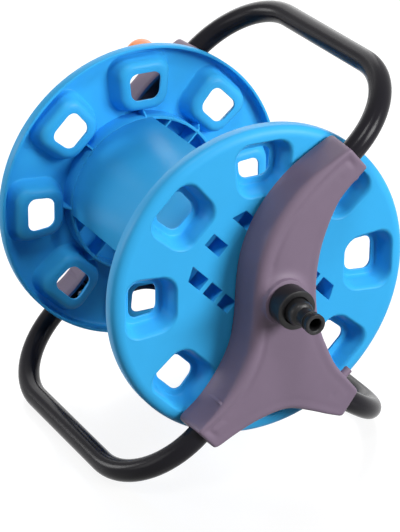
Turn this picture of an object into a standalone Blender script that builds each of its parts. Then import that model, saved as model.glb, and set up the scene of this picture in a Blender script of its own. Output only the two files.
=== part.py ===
"""Hose reel cart: a hose reel that turns between two moulded brackets on three bent steel tubes.

X runs along the reel's axle, towards the water inlet. Z is up, and the two foot tubes rest on z = 0.
All sizes are in metres.
"""

from math import acos, asin, atan2, cos, pi, radians, sin, sqrt

import bmesh
import bpy
from mathutils import Vector

# Clearances, how far joined shapes reach into each other, how far cutters run past a face, small edges
GAP = 0.0003
RUNNING_GAP = 0.00035
SINK = 0.0006
PAST = 0.001
EDGE = 0.0007

# Reel: two like halves, each a flange with half of the drum
FLANGE_R = 0.130
REEL_WIDTH = 0.2228
WEB = 0.003
SHOULDER = 0.0085
SHOULDER_DEPTH = 0.006
RIM_DEPTH = 0.0136
RIM_WALL = 0.0024
DRUM_R = 0.070
DRUM_WALL = 0.0026
RING_DEPTH = 0.0199
RIB = 0.0016
PANEL_HALF_WIDTH = 0.053
PANEL_LIP = 0.008
TONGUE_START = 0.009
TONGUE_WIDTH = 0.012
TONGUE_LENGTH = 0.009
TONGUE_WALL = 0.0023
TONGUE_ROOT = 0.006
TONGUE_STEP = 0.0015
GUSSET_REACH = 0.008
GUSSET_TOE = 0.0012

# Pockets in each flange
POCKETS = 8
POCKET_CENTRE_R = 0.097
POCKET_RADIAL = 0.045
POCKET_ACROSS = 0.049
POCKET_CORNER = 0.014
POCKET_EASE = 0.002
POCKET_EASE_DEPTH = 0.0025
POCKET_FLOOR_RADIAL = 0.036
POCKET_FLOOR_ACROSS = 0.038
POCKET_FLOOR_CORNER = 0.0115
POCKET_DEPTH = 0.0166
POCKET_FLOOR_WALL = 0.0022
POCKET_SIDE_WALL = 0.0024
POCKET_HOLE_RADIAL = 0.024
POCKET_HOLE_ACROSS = 0.0275
POCKET_HOLE_CORNER = 0.0072
POCKET_FAN = 0.16

# Windows round each hub, in rows beside the drum's middle line
WINDOW_ROW = 0.0298
WINDOW_HEIGHT = 0.0115
WINDOW_INNER = 0.0085
WINDOW_WIDTH = 0.013
WINDOW_BAR = 0.0045
END_WINDOW_HEIGHT = 0.0115
END_WINDOW_INNER = 0.0492

# Hub of each reel half
HUB_R = 0.018
HUB_DEPTH = 0.020
SOCKET_DEPTH = 0.012
DRIVE_SQUARE = 0.0154
JOURNAL_R = 0.011

# How the reel and the crank stand at rest, from +Y towards +Z
REEL_REST = radians(-46.5)
CRANK_REST = radians(61)

# Frame tubes
TUBE_R = 0.0095
TUBE_WALL = 0.001
BEND_R = 0.0685
LEG_END = 0.100
CAP_REACH = 0.067
TUBE_SCREW_REACH = 0.090
LEG_REST = 0.0975
TUBE_GAP = 0.0003

# Each tube's bar as seen along the axle, from the reel's centre, and how far its legs lean from level
HANDLE_BAR = (0.1215, 0.1474)
HANDLE_LEAN = radians(39)
LEFT_FOOT_BAR_Y = -0.1215
LEFT_FOOT_LEAN = radians(219)
RIGHT_FOOT_BAR_Y = 0.1165
RIGHT_FOOT_LEAN = radians(-37.5)
FOOT_DROP = 0.1495

# Brackets
BRACKET_GAP = 0.0026
BRACKET_DEPTH = 0.0305
BRACKET_WALL = 0.0028
BRACKET_ROUND = 0.006
BRACKET_DRAFT = 0.0015
CAVITY_ROUND = 0.0036
CAP_HALF_WIDTH = 0.0135
CAP_CORNER = 0.004
LEAST_CORNER = 0.0012
CORNER_LOSS = 0.45
BRACKET_RIB = 0.0024
REST_HALF_WIDTH = 0.030
PAD_HEIGHT = 0.0014
PAD_R = 0.0052
PEG_R = 0.0035
PEG_LENGTH = 0.013
PEG_SETBACK = 0.0085
PEGS = (((0.0604, 0.0938), radians(-44)), ((0.0549, -0.0882), radians(38)))

# Free-form sides of a bracket between its arms, seen along the axle from the reel's centre
LEFT_SIDE = (
    (0.0437, 0.1068),
    (0.0262, 0.0968),
    (0.0102, 0.0839),
    (-0.0048, 0.0668),
    (-0.0151, 0.0488),
    (-0.0218, 0.0298),
    (-0.0251, 0.0073),
    (-0.0271, -0.0187),
    (-0.0318, -0.0417),
    (-0.0433, -0.0637),
    (-0.0593, -0.0827),
)
LOWER_SIDE = (
    (-0.0383, -0.1082),
    (-0.0163, -0.1017),
    (0.0052, -0.0997),
    (0.0252, -0.1067),
    (0.0397, -0.1132),
)
RIGHT_SIDE = (
    (0.0597, -0.0822),
    (0.0502, -0.0687),
    (0.0432, -0.0527),
    (0.0372, -0.0357),
    (0.0335, -0.0147),
    (0.0332, 0.0093),
    (0.0372, 0.0343),
    (0.0467, 0.0593),
    (0.0567, 0.0758),
)

# Bearings and the bosses on the brackets
BUSH_LENGTH = 0.0225
BUSH_SETBACK = 0.002
BUSH_WALL = 0.0019
SLEEVE_WALL = 0.003
BOSS_R = 0.0185
FRONT_BOSS = 0.0058
REAR_BOSS = 0.002
BOSS_FOOT = 0.0035

# Water inlet on the front bracket
SPIGOT_R = 0.0139
SPIGOT_LENGTH = 0.0075
STEM_R = 0.0065
STEM_START = 0.0245
STEM_COLLAR_R = 0.0136
STEM_COLLAR = 0.002
NIPPLE_BODY_R = 0.0106
NIPPLE_BODY_LENGTH = 0.0104
NIPPLE_DOME = 0.006
NIPPLE_DOME_END_R = 0.0082
NIPPLE_NECK_R = 0.0069
NIPPLE_NECK = 0.009
NIPPLE_RING_R = 0.0080
NIPPLE_RING = 0.002
NIPPLE_GROOVE = 0.0038
NIPPLE_TIP_R = 0.0084
NIPPLE_TIP = 0.004
NIPPLE_BORE_R = 0.0048
COLLAR_R = 0.0162
COLLAR_LENGTH = 0.0162
COLLAR_EDGE = 0.0012
SEAL_R = 0.0009
SEAL_PITCH = 0.0035

# Water elbow inside the drum
ELBOW_BORE_R = 0.0055
ELBOW_SEAT_R = 0.0089
ELBOW_SEAT_START = 0.001
ELBOW_FLANGE = 0.0041
ELBOW_FLANGE_R = 0.014
ELBOW_EAR = 0.022
ELBOW_EAR_R = 0.0052
ELBOW_BODY = 0.026
ELBOW_OUTLET_R = 0.010
ELBOW_OUTLET = 0.026
PILLAR_R = 0.0045
NUT_R = 0.013
NUT_START = 0.0142
NUT_LIP = 0.0022
BARB_FLANGE = 0.002
BARB_BORE_R = 0.0042
BARB_R = 0.0068
BARB_LENGTH = 0.022
BARB_RIDGES = 3
BARB_DROP = 0.0013

# Crank and knob
CRANK_R = 0.097
CRANK_HUB_R = 0.017
CRANK_HUB = 0.0112
CRANK_HUB_STEP = 0.0015
CRANK_ARM = 0.0082
CRANK_END_R = 0.010
CRANK_BOSS_R = 0.0085
WASHER = 0.0012
WASHER_R = 0.0165
KNOB_LENGTH = 0.040
KNOB_FOOT_R = 0.011
KNOB_R = 0.0144
KNOB_SWELL = ((0.30, 0.25), (0.62, 0.80), (0.82, 1.0))
KNOB_ROUND = ((0.92, 0.0007), (0.98, 0.0025), (1.0, 0.0045))
KNOB_PIN_R = 0.004
KNOB_PIN_HEAD_R = 0.0068
KNOB_PIN_HEAD = 0.003
KNOB_PIN_SKIN = 0.0012
KNOB_RECESS = 0.0103
KNOB_CAP = 0.0025

# Screws
SCREW_R = 0.0019
SCREW_HEAD_R = 0.0036
SCREW_HEAD = 0.0024
SCREW_HEAD_TAPER = 0.6
SCREW_GRIP = 0.0115
CRANK_SCREW_R = 0.0025
CRANK_SCREW_HEAD_R = 0.005
CRANK_SCREW_HEAD = 0.004
SCREW_SKIN = 0.001

# How finely round shapes are faceted
FLANGE_SIDES = 56
DRUM_SIDES = 36
HUB_SIDES = 20
FITTING_SIDES = 16
SMALL_SIDES = 8
TUBE_SIDES = 12
TUBE_BORE_SIDES = 6
BEND_STEPS = 6
SHOULDER_STEPS = 3
BOSS_STEPS = 3
PANEL_STEPS = 10

# Places along the axle, from the reel's centre
FACE_X = REEL_WIDTH / 2
BRACKET_BACK_X = FACE_X + BRACKET_GAP
BRACKET_FACE_X = BRACKET_BACK_X + BRACKET_DEPTH
TUBE_CORNER_R = TUBE_R / sqrt(cos(pi / TUBE_SIDES))
TUBE_FLAT_R = TUBE_CORNER_R * cos(pi / TUBE_SIDES)
TUBE_HOLE_R = TUBE_CORNER_R + TUBE_GAP
LEG_X = BRACKET_FACE_X - BRACKET_WALL - PAD_HEIGHT - TUBE_GAP - TUBE_R
BUSH_X = BRACKET_BACK_X + BUSH_SETBACK
BUSH_END_X = BUSH_X + BUSH_LENGTH
BUSH_BORE_R = JOURNAL_R + RUNNING_GAP
BUSH_R = BUSH_BORE_R + BUSH_WALL
SLEEVE_BORE_R = BUSH_R + GAP
SLEEVE_R = SLEEVE_BORE_R + SLEEVE_WALL
FRONT_BOSS_X = BRACKET_FACE_X + FRONT_BOSS
SPIGOT_X = FRONT_BOSS_X + SPIGOT_LENGTH
STEM_COLLAR_X = SPIGOT_X + GAP
NIPPLE_BODY_X = STEM_COLLAR_X + STEM_COLLAR
REAR_BOSS_X = BRACKET_FACE_X + REAR_BOSS
CRANK_X = REAR_BOSS_X + WASHER + 2 * GAP
CRANK_ARM_X = CRANK_X + CRANK_ARM
CRANK_FACE_X = CRANK_X + CRANK_HUB
KNOB_X = CRANK_FACE_X + GAP
KNOB_END_X = KNOB_X + KNOB_LENGTH
NIPPLE_NECK_X = NIPPLE_BODY_X + NIPPLE_BODY_LENGTH + NIPPLE_DOME
NIPPLE_RING_X = NIPPLE_NECK_X + NIPPLE_NECK
NIPPLE_GROOVE_X = NIPPLE_RING_X + NIPPLE_RING
NIPPLE_TIP_X = NIPPLE_GROOVE_X + NIPPLE_GROOVE
NIPPLE_END_X = NIPPLE_TIP_X + NIPPLE_TIP
HUB_X = FACE_X - HUB_DEPTH
RING_X = FACE_X - RING_DEPTH
ROOT_X = FACE_X - WEB + SINK
POCKET_TOP_X = FACE_X - POCKET_DEPTH - POCKET_FLOOR_WALL
DRUM_BORE_R = DRUM_R - DRUM_WALL
STEM_X = HUB_X + STEM_START
ELBOW_FLANGE_X = HUB_X - GAP
ELBOW_BODY_X = ELBOW_FLANGE_X - ELBOW_FLANGE
ELBOW_END_X = ELBOW_BODY_X - ELBOW_BODY
ELBOW_OUTLET_X = (ELBOW_BODY_X + ELBOW_END_X) / 2

# The whole object stands centred over its box, with its feet on z = 0
REEL_CENTRE = Vector(((KNOB_END_X - NIPPLE_END_X) / 2, 0.0, FOOT_DROP + TUBE_FLAT_R))
LEFT_FOOT_BAR = (LEFT_FOOT_BAR_Y, -FOOT_DROP)
RIGHT_FOOT_BAR = (RIGHT_FOOT_BAR_Y, -FOOT_DROP)


def clear_scene():
    for item in list(bpy.data.objects):
        bpy.data.objects.remove(item, do_unlink=True)


def material(name, colour, roughness, metallic=0.0):
    """A plain finish: linear colour, roughness and metallic value on a Principled BSDF."""
    finish = bpy.data.materials.new(name)
    finish.use_nodes = True
    shader = finish.node_tree.nodes["Principled BSDF"]
    shader.inputs["Base Color"].default_value = (*colour, 1.0)
    shader.inputs["Roughness"].default_value = roughness
    shader.inputs["Metallic"].default_value = metallic
    finish.diffuse_color = (*colour, 1.0)
    return finish


def empty(name, place, turn=0.0, parent=None):
    """A bare frame of reference, turned about the axle."""
    holder = bpy.data.objects.new(name, None)
    bpy.context.collection.objects.link(holder)
    holder.location = place
    holder.rotation_euler = (turn, 0.0, 0.0)
    holder.parent = parent
    return holder


def add_mesh(name, bm):
    bmesh.ops.recalc_face_normals(bm, faces=bm.faces)
    mesh = bpy.data.meshes.new(name)
    bm.to_mesh(mesh)
    bm.free()
    mesh.shade_smooth()
    mesh.set_sharp_from_angle(angle=radians(35))
    item = bpy.data.objects.new(name, mesh)
    bpy.context.collection.objects.link(item)
    return item


def piece(name, bm, finish, parent, place=(0.0, 0.0, 0.0), turn=(0.0, 0.0, 0.0)):
    """One physical piece of the cart, placed in its parent's frame."""
    item = add_mesh(name, bm)
    item.data.materials.append(finish)
    item.parent = parent
    item.location = place
    item.rotation_euler = turn
    return item


def tool(name, bm, target=None):
    """A hidden shape that a Boolean uses, which moves with the piece that it shapes."""
    item = add_mesh("tool." + name, bm)
    item.hide_render = True
    item.display_type = "WIRE"
    if target is not None:
        item.parent = target
    return item


def boolean(target, shape, operation, overlapping=False):
    step = target.modifiers.new(operation.lower(), "BOOLEAN")
    step.object = shape
    step.operation = operation
    step.solver = "EXACT"
    step.use_self = overlapping


def join(target, name, bm, overlapping=False):
    boolean(target, tool(name, bm, target), "UNION", overlapping)


def cut(target, name, bm):
    boolean(target, tool(name, bm, target), "DIFFERENCE")


def loft(bm, rings, closed=False):
    """Skins a row of point rings. The two end rings are capped, unless the row closes on itself."""
    rows = [[bm.verts.new(point) for point in ring] for ring in rings]
    nexts = rows[1:] + rows[:1] if closed else rows[1:]
    count = len(rows[0])
    for row, other in zip(rows, nexts):
        for i in range(count):
            j = (i + 1) % count
            bm.faces.new((row[i], row[j], other[j], other[i]))
    if not closed:
        bm.faces.new(rows[0][::-1])
        bm.faces.new(rows[-1])


def circle(radius, sides, centre=(0.0, 0.0), phase=0.0):
    steps = [phase + 2 * pi * (i + 0.5) / sides for i in range(sides)]
    return [(centre[0] + radius * cos(a), centre[1] + radius * sin(a)) for a in steps]


def at_x(outline, x):
    return [(x, y, z) for y, z in outline]


def spindle(bm, profile, sides, centre=(0.0, 0.0)):
    """A solid turned piece along X, from (x, radius) pairs."""
    loft(bm, [at_x(circle(radius, sides, centre), x) for x, radius in profile])


def collar(bm, profile, sides, centre=(0.0, 0.0)):
    """A turned piece with a bore along X, from a closed loop of (x, radius) pairs."""
    loft(bm, [at_x(circle(radius, sides, centre), x) for x, radius in profile], closed=True)


def prism(bm, outline, x0, x1):
    loft(bm, [at_x(outline, x0), at_x(outline, x1)])


def rectangle(y0, z0, y1, z1):
    return [(y0, z0), (y1, z0), (y1, z1), (y0, z1)]


def turned(outline, angle, centre=(0.0, 0.0)):
    return [
        (centre[0] + y * cos(angle) - z * sin(angle), centre[1] + y * sin(angle) + z * cos(angle))
        for y, z in outline
    ]


def rounded_pocket(radial, across, corner, angle, steps=2):
    """A rounded rectangle at a pocket's place, a little wider towards the rim."""
    points = []
    for side_y, side_z, start in ((1, 1, 0), (-1, 1, 90), (-1, -1, 180), (1, -1, 270)):
        for i in range(steps + 1):
            a = radians(start + 90 * i / steps)
            y = side_y * (radial / 2 - corner) + corner * cos(a)
            z = side_z * (across / 2 - corner) + corner * sin(a)
            points.append((y, z * (1 + POCKET_FAN * y / radial)))
    return turned([(POCKET_CENTRE_R + y, z) for y, z in points], angle)


def smooth_curve(points, start, end, steps):
    """Points along a Catmull-Rom curve from start through points to end, with both ends left out."""
    row = [Vector(p) for p in (start, *points, end)]
    row = [2 * row[0] - row[1], *row, 2 * row[-1] - row[-2]]
    smooth = []
    for p0, p1, p2, p3 in zip(row, row[1:], row[2:], row[3:]):
        for i in range(steps):
            t = i / steps
            smooth.append(
                0.5 * (2 * p1 + (p2 - p0) * t + (2 * p0 - 5 * p1 + 4 * p2 - p3) * t * t
                       + (3 * p1 - p0 - 3 * p2 + p3) * t * t * t)
            )
    return smooth[1:]


def lean_frame(bar, lean):
    """A leg's line as seen along the axle: the bar's place, the way out to it, and across it."""
    out = Vector((cos(lean), sin(lean)))
    return Vector(bar), out, Vector((-out.y, out.x))


def on_leg(bar, lean, reach, across=0.0):
    """The point on a leg's line at a distance from its bar, towards the reel."""
    start, out, side = lean_frame(bar, lean)
    return start - out * reach + side * across


ARMS = ((HANDLE_BAR, HANDLE_LEAN), (LEFT_FOOT_BAR, LEFT_FOOT_LEAN), (RIGHT_FOOT_BAR, RIGHT_FOOT_LEAN))


def bracket_outline(inset):
    """The bracket's outline, moved inwards, as one closed loop with filleted arm ends."""
    sides = (LEFT_SIDE, LOWER_SIDE, RIGHT_SIDE)
    points = []
    corners = []
    for i, (bar, lean) in enumerate(ARMS):
        after = ARMS[(i + 1) % len(ARMS)]
        start = on_leg(bar, lean, CAP_REACH, CAP_HALF_WIDTH)
        end = on_leg(*after, CAP_REACH, -CAP_HALF_WIDTH)
        corners.append(len(points))
        points.append(start)
        points.extend(smooth_curve(sides[i], start, end, 2 if i == 1 else 1))
        corners.append(len(points))
        points.append(end)
    count = len(points)
    moved = []
    for i, point in enumerate(points):
        before = (point - points[i - 1]).normalized()
        beyond = (points[(i + 1) % count] - point).normalized()
        normal = Vector((-before.y - beyond.y, before.x + beyond.x)).normalized()
        slant = max(0.3, normal.dot(Vector((-before.y, before.x))))
        moved.append(point + normal * (inset / slant))
    fillet = max(CAP_CORNER - inset * CORNER_LOSS, LEAST_CORNER)
    loop = []
    for i, point in enumerate(moved):
        if i not in corners:
            loop.append(point)
            continue
        back = (moved[i - 1] - point).normalized() * fillet
        on = (moved[(i + 1) % count] - point).normalized() * fillet
        loop.extend((point + back, point + (back + on) * 0.3, point + on))
    return [tuple(point) for point in loop]


def bracket_cavity(side, name, target):
    """The hollow inside a bracket, less what stands in it: sleeve, screw pads and tube rests."""
    bm = bmesh.new()
    steps = (
        (BRACKET_BACK_X - PAST, BRACKET_WALL),
        (BRACKET_FACE_X - BRACKET_ROUND, BRACKET_DRAFT + BRACKET_WALL),
        (BRACKET_FACE_X - BRACKET_WALL, BRACKET_DRAFT + BRACKET_WALL + CAVITY_ROUND),
    )
    loft(bm, [at_x(bracket_outline(inset), side * x) for x, inset in steps])
    hollow = tool(name + "_hollow", bm, target)
    kept = bmesh.new()
    far_x = side * (BRACKET_FACE_X + PAST)
    prism(kept, circle(SLEEVE_R, HUB_SIDES), side * BUSH_X, far_x)
    for bar, lean in ARMS:
        pad = on_leg(bar, lean, TUBE_SCREW_REACH)
        prism(kept, circle(PAD_R, SMALL_SIDES, tuple(pad)), side * LEG_X, far_x)
        corners = [
            on_leg(bar, lean, LEG_REST + along * BRACKET_RIB / 2, across * REST_HALF_WIDTH)
            for along, across in ((-1, -1), (-1, 1), (1, 1), (1, -1))
        ]
        prism(kept, [tuple(c) for c in corners], side * (BRACKET_BACK_X + BRACKET_RIB), far_x)
    boolean(hollow, tool(name + "_kept", kept, target), "DIFFERENCE")
    return hollow


def tube_phase(lean):
    """How far a tube's section is turned, so that one flat faces the floor along a foot's bar."""
    _, out, side = lean_frame((0.0, 0.0), lean)
    return atan2(-side.y, -out.y)


def tube_hole(bm, bar, lean, side):
    """The hole for a tube's leg, from outside the arm's mouth to just past the tube's end."""
    rings = []
    _, _, across = lean_frame(bar, lean)
    for reach in (CAP_REACH - TUBE_R, LEG_END + GAP):
        centre = on_leg(bar, lean, reach)
        rings.append([
            (side * (LEG_X + a), centre.x + across.x * b, centre.y + across.y * b)
            for a, b in circle(TUBE_HOLE_R, TUBE_SIDES, phase=tube_phase(lean))
        ])
    loft(bm, rings)


def bracket(name, side, finish, parent, boss_profile, bores):
    """One moulded bracket: a shell open towards the reel, with three arms for the tubes."""
    bm = bmesh.new()
    rings = [at_x(bracket_outline(0.0), side * BRACKET_BACK_X)]
    for i in range(3):
        a = radians(45 * i)
        x = BRACKET_FACE_X - BRACKET_ROUND * (1 - sin(a))
        rings.append(at_x(bracket_outline(BRACKET_DRAFT + BRACKET_ROUND * (1 - cos(a))), side * x))
    loft(bm, rings)
    body = piece(name, bm, finish, parent)

    pegs = bmesh.new()
    for (y, z), angle in PEGS:
        rings = []
        for along, radius in ((0.0, PEG_R), (PEG_LENGTH - EDGE, PEG_R), (PEG_LENGTH, PEG_R - EDGE)):
            rings.append([
                (side * (BRACKET_FACE_X - PEG_SETBACK) + a,
                 y + along * cos(angle) - b * sin(angle), z + along * sin(angle) + b * cos(angle))
                for a, b in circle(radius, SMALL_SIDES)
            ])
        loft(pegs, rings)
    join(body, name + "_pegs", pegs)
    boolean(body, bracket_cavity(side, name, body), "DIFFERENCE")

    boss = bmesh.new()
    spindle(boss, [(side * x, radius) for x, radius in boss_profile], HUB_SIDES)
    join(body, name + "_boss", boss)

    holes = bmesh.new()
    spindle(holes, [(side * x, radius) for x, radius in bores], HUB_SIDES)
    for bar, lean in ARMS:
        tube_hole(holes, bar, lean, side)
    cut(body, name + "_bores", holes)

    pilots = bmesh.new()
    screw_way = (
        (side * (BRACKET_BACK_X - PAST), SCREW_HEAD_R + GAP),
        (side * LEG_X, SCREW_HEAD_R + GAP),
        (side * LEG_X, SCREW_R + GAP),
        (side * (BRACKET_FACE_X - SCREW_SKIN), SCREW_R + GAP),
    )
    for bar, lean in ARMS:
        spindle(pilots, screw_way, SMALL_SIDES, tuple(on_leg(bar, lean, TUBE_SCREW_REACH)))
    cut(body, name + "_pilots", pilots)


def boss_profile(length):
    """A bracket's hub boss with a hollow curve at its foot, from the wall outwards."""
    foot = min(BOSS_FOOT, length - EDGE)
    profile = [(BRACKET_FACE_X - BRACKET_WALL / 2, BOSS_R + foot)]
    for i in range(BOSS_STEPS + 1):
        a = pi / 2 * i / BOSS_STEPS
        profile.append((BRACKET_FACE_X + foot * (1 - cos(a)), BOSS_R + foot * (1 - sin(a))))
    return profile + [(BRACKET_FACE_X + length, BOSS_R)]


def front_bracket(finish, parent):
    profile = boss_profile(FRONT_BOSS) + [(FRONT_BOSS_X, SPIGOT_R), (SPIGOT_X, SPIGOT_R)]
    bores = [
        (BRACKET_BACK_X - PAST, SLEEVE_BORE_R),
        (BUSH_END_X + GAP, SLEEVE_BORE_R),
        (BUSH_END_X + GAP, STEM_R + GAP),
        (SPIGOT_X + PAST, STEM_R + GAP),
    ]
    bracket("front_bracket", 1, finish, parent, profile, bores)


def rear_bracket(finish, parent):
    bores = [
        (BRACKET_BACK_X - PAST, SLEEVE_BORE_R),
        (BUSH_END_X + GAP, SLEEVE_BORE_R),
        (BUSH_END_X + GAP, JOURNAL_R + 2 * RUNNING_GAP),
        (REAR_BOSS_X + PAST, JOURNAL_R + 2 * RUNNING_GAP),
    ]
    bracket("rear_bracket", -1, finish, parent, boss_profile(REAR_BOSS), bores)


def tube_path(reach_end):
    """The centre line of a bent tube: (along the bar, towards the reel) with the way that it runs."""
    half = LEG_X
    path = [(-half, reach_end, -pi / 2)]
    for i in range(BEND_STEPS + 1):
        a = pi / 2 * i / BEND_STEPS
        path.append((-half + BEND_R * (1 - cos(a)), BEND_R * (1 - sin(a)), -pi / 2 + a))
    for i in range(BEND_STEPS + 1):
        a = pi / 2 * i / BEND_STEPS
        path.append((half - BEND_R * (1 - sin(a)), BEND_R * (1 - cos(a)), a))
    path.append((half, reach_end, pi / 2))
    return path


def tube_rings(bar, lean, radius, sides, reach_end):
    """Rings round the tube's centre line."""
    start, out, side = lean_frame(bar, lean)
    rings = []
    for x, reach, heading in tube_path(reach_end):
        ring = []
        for a, b in circle(radius, sides, phase=tube_phase(lean)):
            across = start - out * (reach - a * cos(heading)) + side * b
            ring.append((x + a * sin(heading), across.x, across.y))
        rings.append(ring)
    return rings


def bent_tube(name, bar, lean, finish, parent):
    """A steel tube bent twice, with its two legs in the brackets and a hole for a screw in each."""
    bm = bmesh.new()
    loft(bm, tube_rings(bar, lean, TUBE_CORNER_R, TUBE_SIDES, LEG_END))
    body = piece(name, bm, finish, parent)
    bore = bmesh.new()
    loft(bore, tube_rings(bar, lean, TUBE_R - TUBE_WALL, TUBE_BORE_SIDES, LEG_END + PAST))
    cut(body, name + "_bore", bore)
    holes = bmesh.new()
    place = tuple(on_leg(bar, lean, TUBE_SCREW_REACH))
    reach = TUBE_R + PAST
    for end in (-1, 1):
        prism(holes, circle(SCREW_R + GAP, SMALL_SIDES, place), end * (LEG_X - reach), end * (LEG_X + reach))
    cut(body, name + "_screw_holes", holes)


def tube_screw(name, side, bar, lean, finish, parent):
    """A self-tapping screw through a tube's leg into the pad in its bracket."""
    head_x = LEG_X - TUBE_CORNER_R - GAP
    profile = [
        (side * (head_x - SCREW_HEAD), SCREW_HEAD_R * SCREW_HEAD_TAPER),
        (side * (head_x - SCREW_HEAD * SCREW_HEAD_TAPER), SCREW_HEAD_R),
        (side * head_x, SCREW_HEAD_R),
        (side * head_x, SCREW_R),
        (side * (BRACKET_FACE_X - SCREW_SKIN - GAP - SCREW_R), SCREW_R),
        (side * (BRACKET_FACE_X - SCREW_SKIN - GAP), SCREW_R / 2),
    ]
    bm = bmesh.new()
    spindle(bm, profile, SMALL_SIDES)
    place = on_leg(bar, lean, TUBE_SCREW_REACH)
    piece(name, bm, finish, parent, place=(0.0, place.x, place.y))


def flange(bm):
    """The flange plate, which curves over its shoulder into a rim towards the drum."""
    arc_x = FACE_X - SHOULDER_DEPTH
    arc_r = FLANGE_R - SHOULDER
    rim_x = FACE_X - RIM_DEPTH
    turns = [pi / 2 * i / SHOULDER_STEPS for i in range(SHOULDER_STEPS + 1)]
    profile = [(arc_x + (SHOULDER_DEPTH - WEB) * cos(a), arc_r + (SHOULDER - RIM_WALL) * sin(a)) for a in turns]
    profile += [(rim_x, FLANGE_R - RIM_WALL), (rim_x, FLANGE_R)]
    profile += [(arc_x + SHOULDER_DEPTH * sin(a), arc_r + SHOULDER * cos(a)) for a in turns]
    spindle(bm, profile, FLANGE_SIDES)


def drum_panel(bm):
    """Half of the drum: a curved panel with a lip along each edge, as long as the gap between the rings."""
    x0, x1 = RING_X + SINK * 2, -RING_X + GAP
    half_turn = asin(PANEL_HALF_WIDTH / DRUM_R)
    steps = PANEL_STEPS
    angles = [pi - half_turn + 2 * half_turn * i / steps for i in range(steps + 1)]
    outer = [(DRUM_R * cos(a), DRUM_R * sin(a)) for a in angles]
    lip_y = PANEL_LIP - DRUM_R * cos(half_turn)
    inner_half = PANEL_HALF_WIDTH - DRUM_WALL
    inner_turn = asin(inner_half / DRUM_BORE_R)
    inner_angles = [pi - inner_turn + 2 * inner_turn * i / steps for i in range(steps + 1)]
    inner = [(DRUM_BORE_R * cos(a), DRUM_BORE_R * sin(a)) for a in reversed(inner_angles)]
    outline = outer + [(lip_y, -PANEL_HALF_WIDTH), (lip_y, -inner_half)]
    outline += inner + [(lip_y, inner_half), (lip_y, PANEL_HALF_WIDTH)]
    prism(bm, outline, x0, x1)


def window_outlines():
    """The windows in a half's hub: two rows of three on each side, and one at each end."""
    outlines = []
    second = WINDOW_INNER + WINDOW_WIDTH + WINDOW_BAR
    third = second + WINDOW_WIDTH + WINDOW_BAR
    reach = DRUM_BORE_R - GAP
    low = WINDOW_ROW - WINDOW_HEIGHT / 2
    high = WINDOW_ROW + WINDOW_HEIGHT / 2
    for y_sign in (-1, 1):
        for z_sign in (-1, 1):
            for inner in (WINDOW_INNER, second):
                outlines.append(rectangle(
                    y_sign * inner, z_sign * low, y_sign * (inner + WINDOW_WIDTH), z_sign * high))
            outlines.append([
                (y_sign * third, z_sign * low),
                (y_sign * sqrt(reach ** 2 - low ** 2), z_sign * low),
                (y_sign * sqrt(reach ** 2 - high ** 2), z_sign * high),
                (y_sign * third, z_sign * high),
            ])
        half = END_WINDOW_HEIGHT / 2
        outer = sqrt(reach ** 2 - half ** 2)
        outlines.append(rectangle(y_sign * END_WINDOW_INNER, -half, y_sign * outer, half))
    return outlines


def hub_ribs(bm):
    """Thin ribs inside the hub ring, along and between the windows."""
    x0 = RING_X
    x1 = ROOT_X
    end_r = DRUM_BORE_R + DRUM_WALL / 2
    half = RIB / 2
    row_low = WINDOW_ROW - WINDOW_HEIGHT / 2 - half
    row_high = WINDOW_ROW + WINDOW_HEIGHT / 2 + half
    bars = [WINDOW_INNER - half, WINDOW_INNER + WINDOW_WIDTH + WINDOW_BAR / 2]
    bars.append(bars[-1] + WINDOW_WIDTH + WINDOW_BAR)
    for z_sign in (-1, 1):
        for z in (row_low, row_high):
            end = sqrt(end_r ** 2 - z ** 2)
            prism(bm, rectangle(-end, z_sign * z - half, end, z_sign * z + half), x0, x1)
        for y_sign in (-1, 1):
            for y in bars:
                prism(bm, rectangle(
                    y_sign * y - half, z_sign * (row_low - half / 2),
                    y_sign * y + half, z_sign * (row_high + half / 2)), x0, x1)
        for y in (-bars[1] - WINDOW_BAR, 0.0, bars[1] + WINDOW_BAR):
            end = sqrt(end_r ** 2 - y ** 2)
            prism(bm, rectangle(y - half, z_sign * row_high, y + half, z_sign * end), x0, x1)
    for y_sign in (-1, 1):
        wall = END_WINDOW_HEIGHT / 2 + half
        start = END_WINDOW_INNER - half
        for z in (-wall, wall):
            end = sqrt(end_r ** 2 - z ** 2)
            prism(bm, rectangle(y_sign * start, z - half, y_sign * end, z + half), x0, x1)
        prism(bm, rectangle(
            y_sign * start - half, -wall - half / 2, y_sign * start + half, wall + half / 2), x0, x1)


def gusset(bm, angle):
    """A small triangular rib outside the hub ring."""
    rows = []
    for across in (-RIB / 2, RIB / 2):
        corners = (
            (ROOT_X, DRUM_R - SINK),
            (RING_X + GAP, DRUM_R - SINK),
            (RING_X + GAP, DRUM_R + GUSSET_TOE),
            (ROOT_X, DRUM_R + GUSSET_REACH),
        )
        rows.append([
            (x, r * cos(angle) - across * sin(angle), r * sin(angle) + across * cos(angle))
            for x, r in corners
        ])
    loft(bm, rows)


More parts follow.
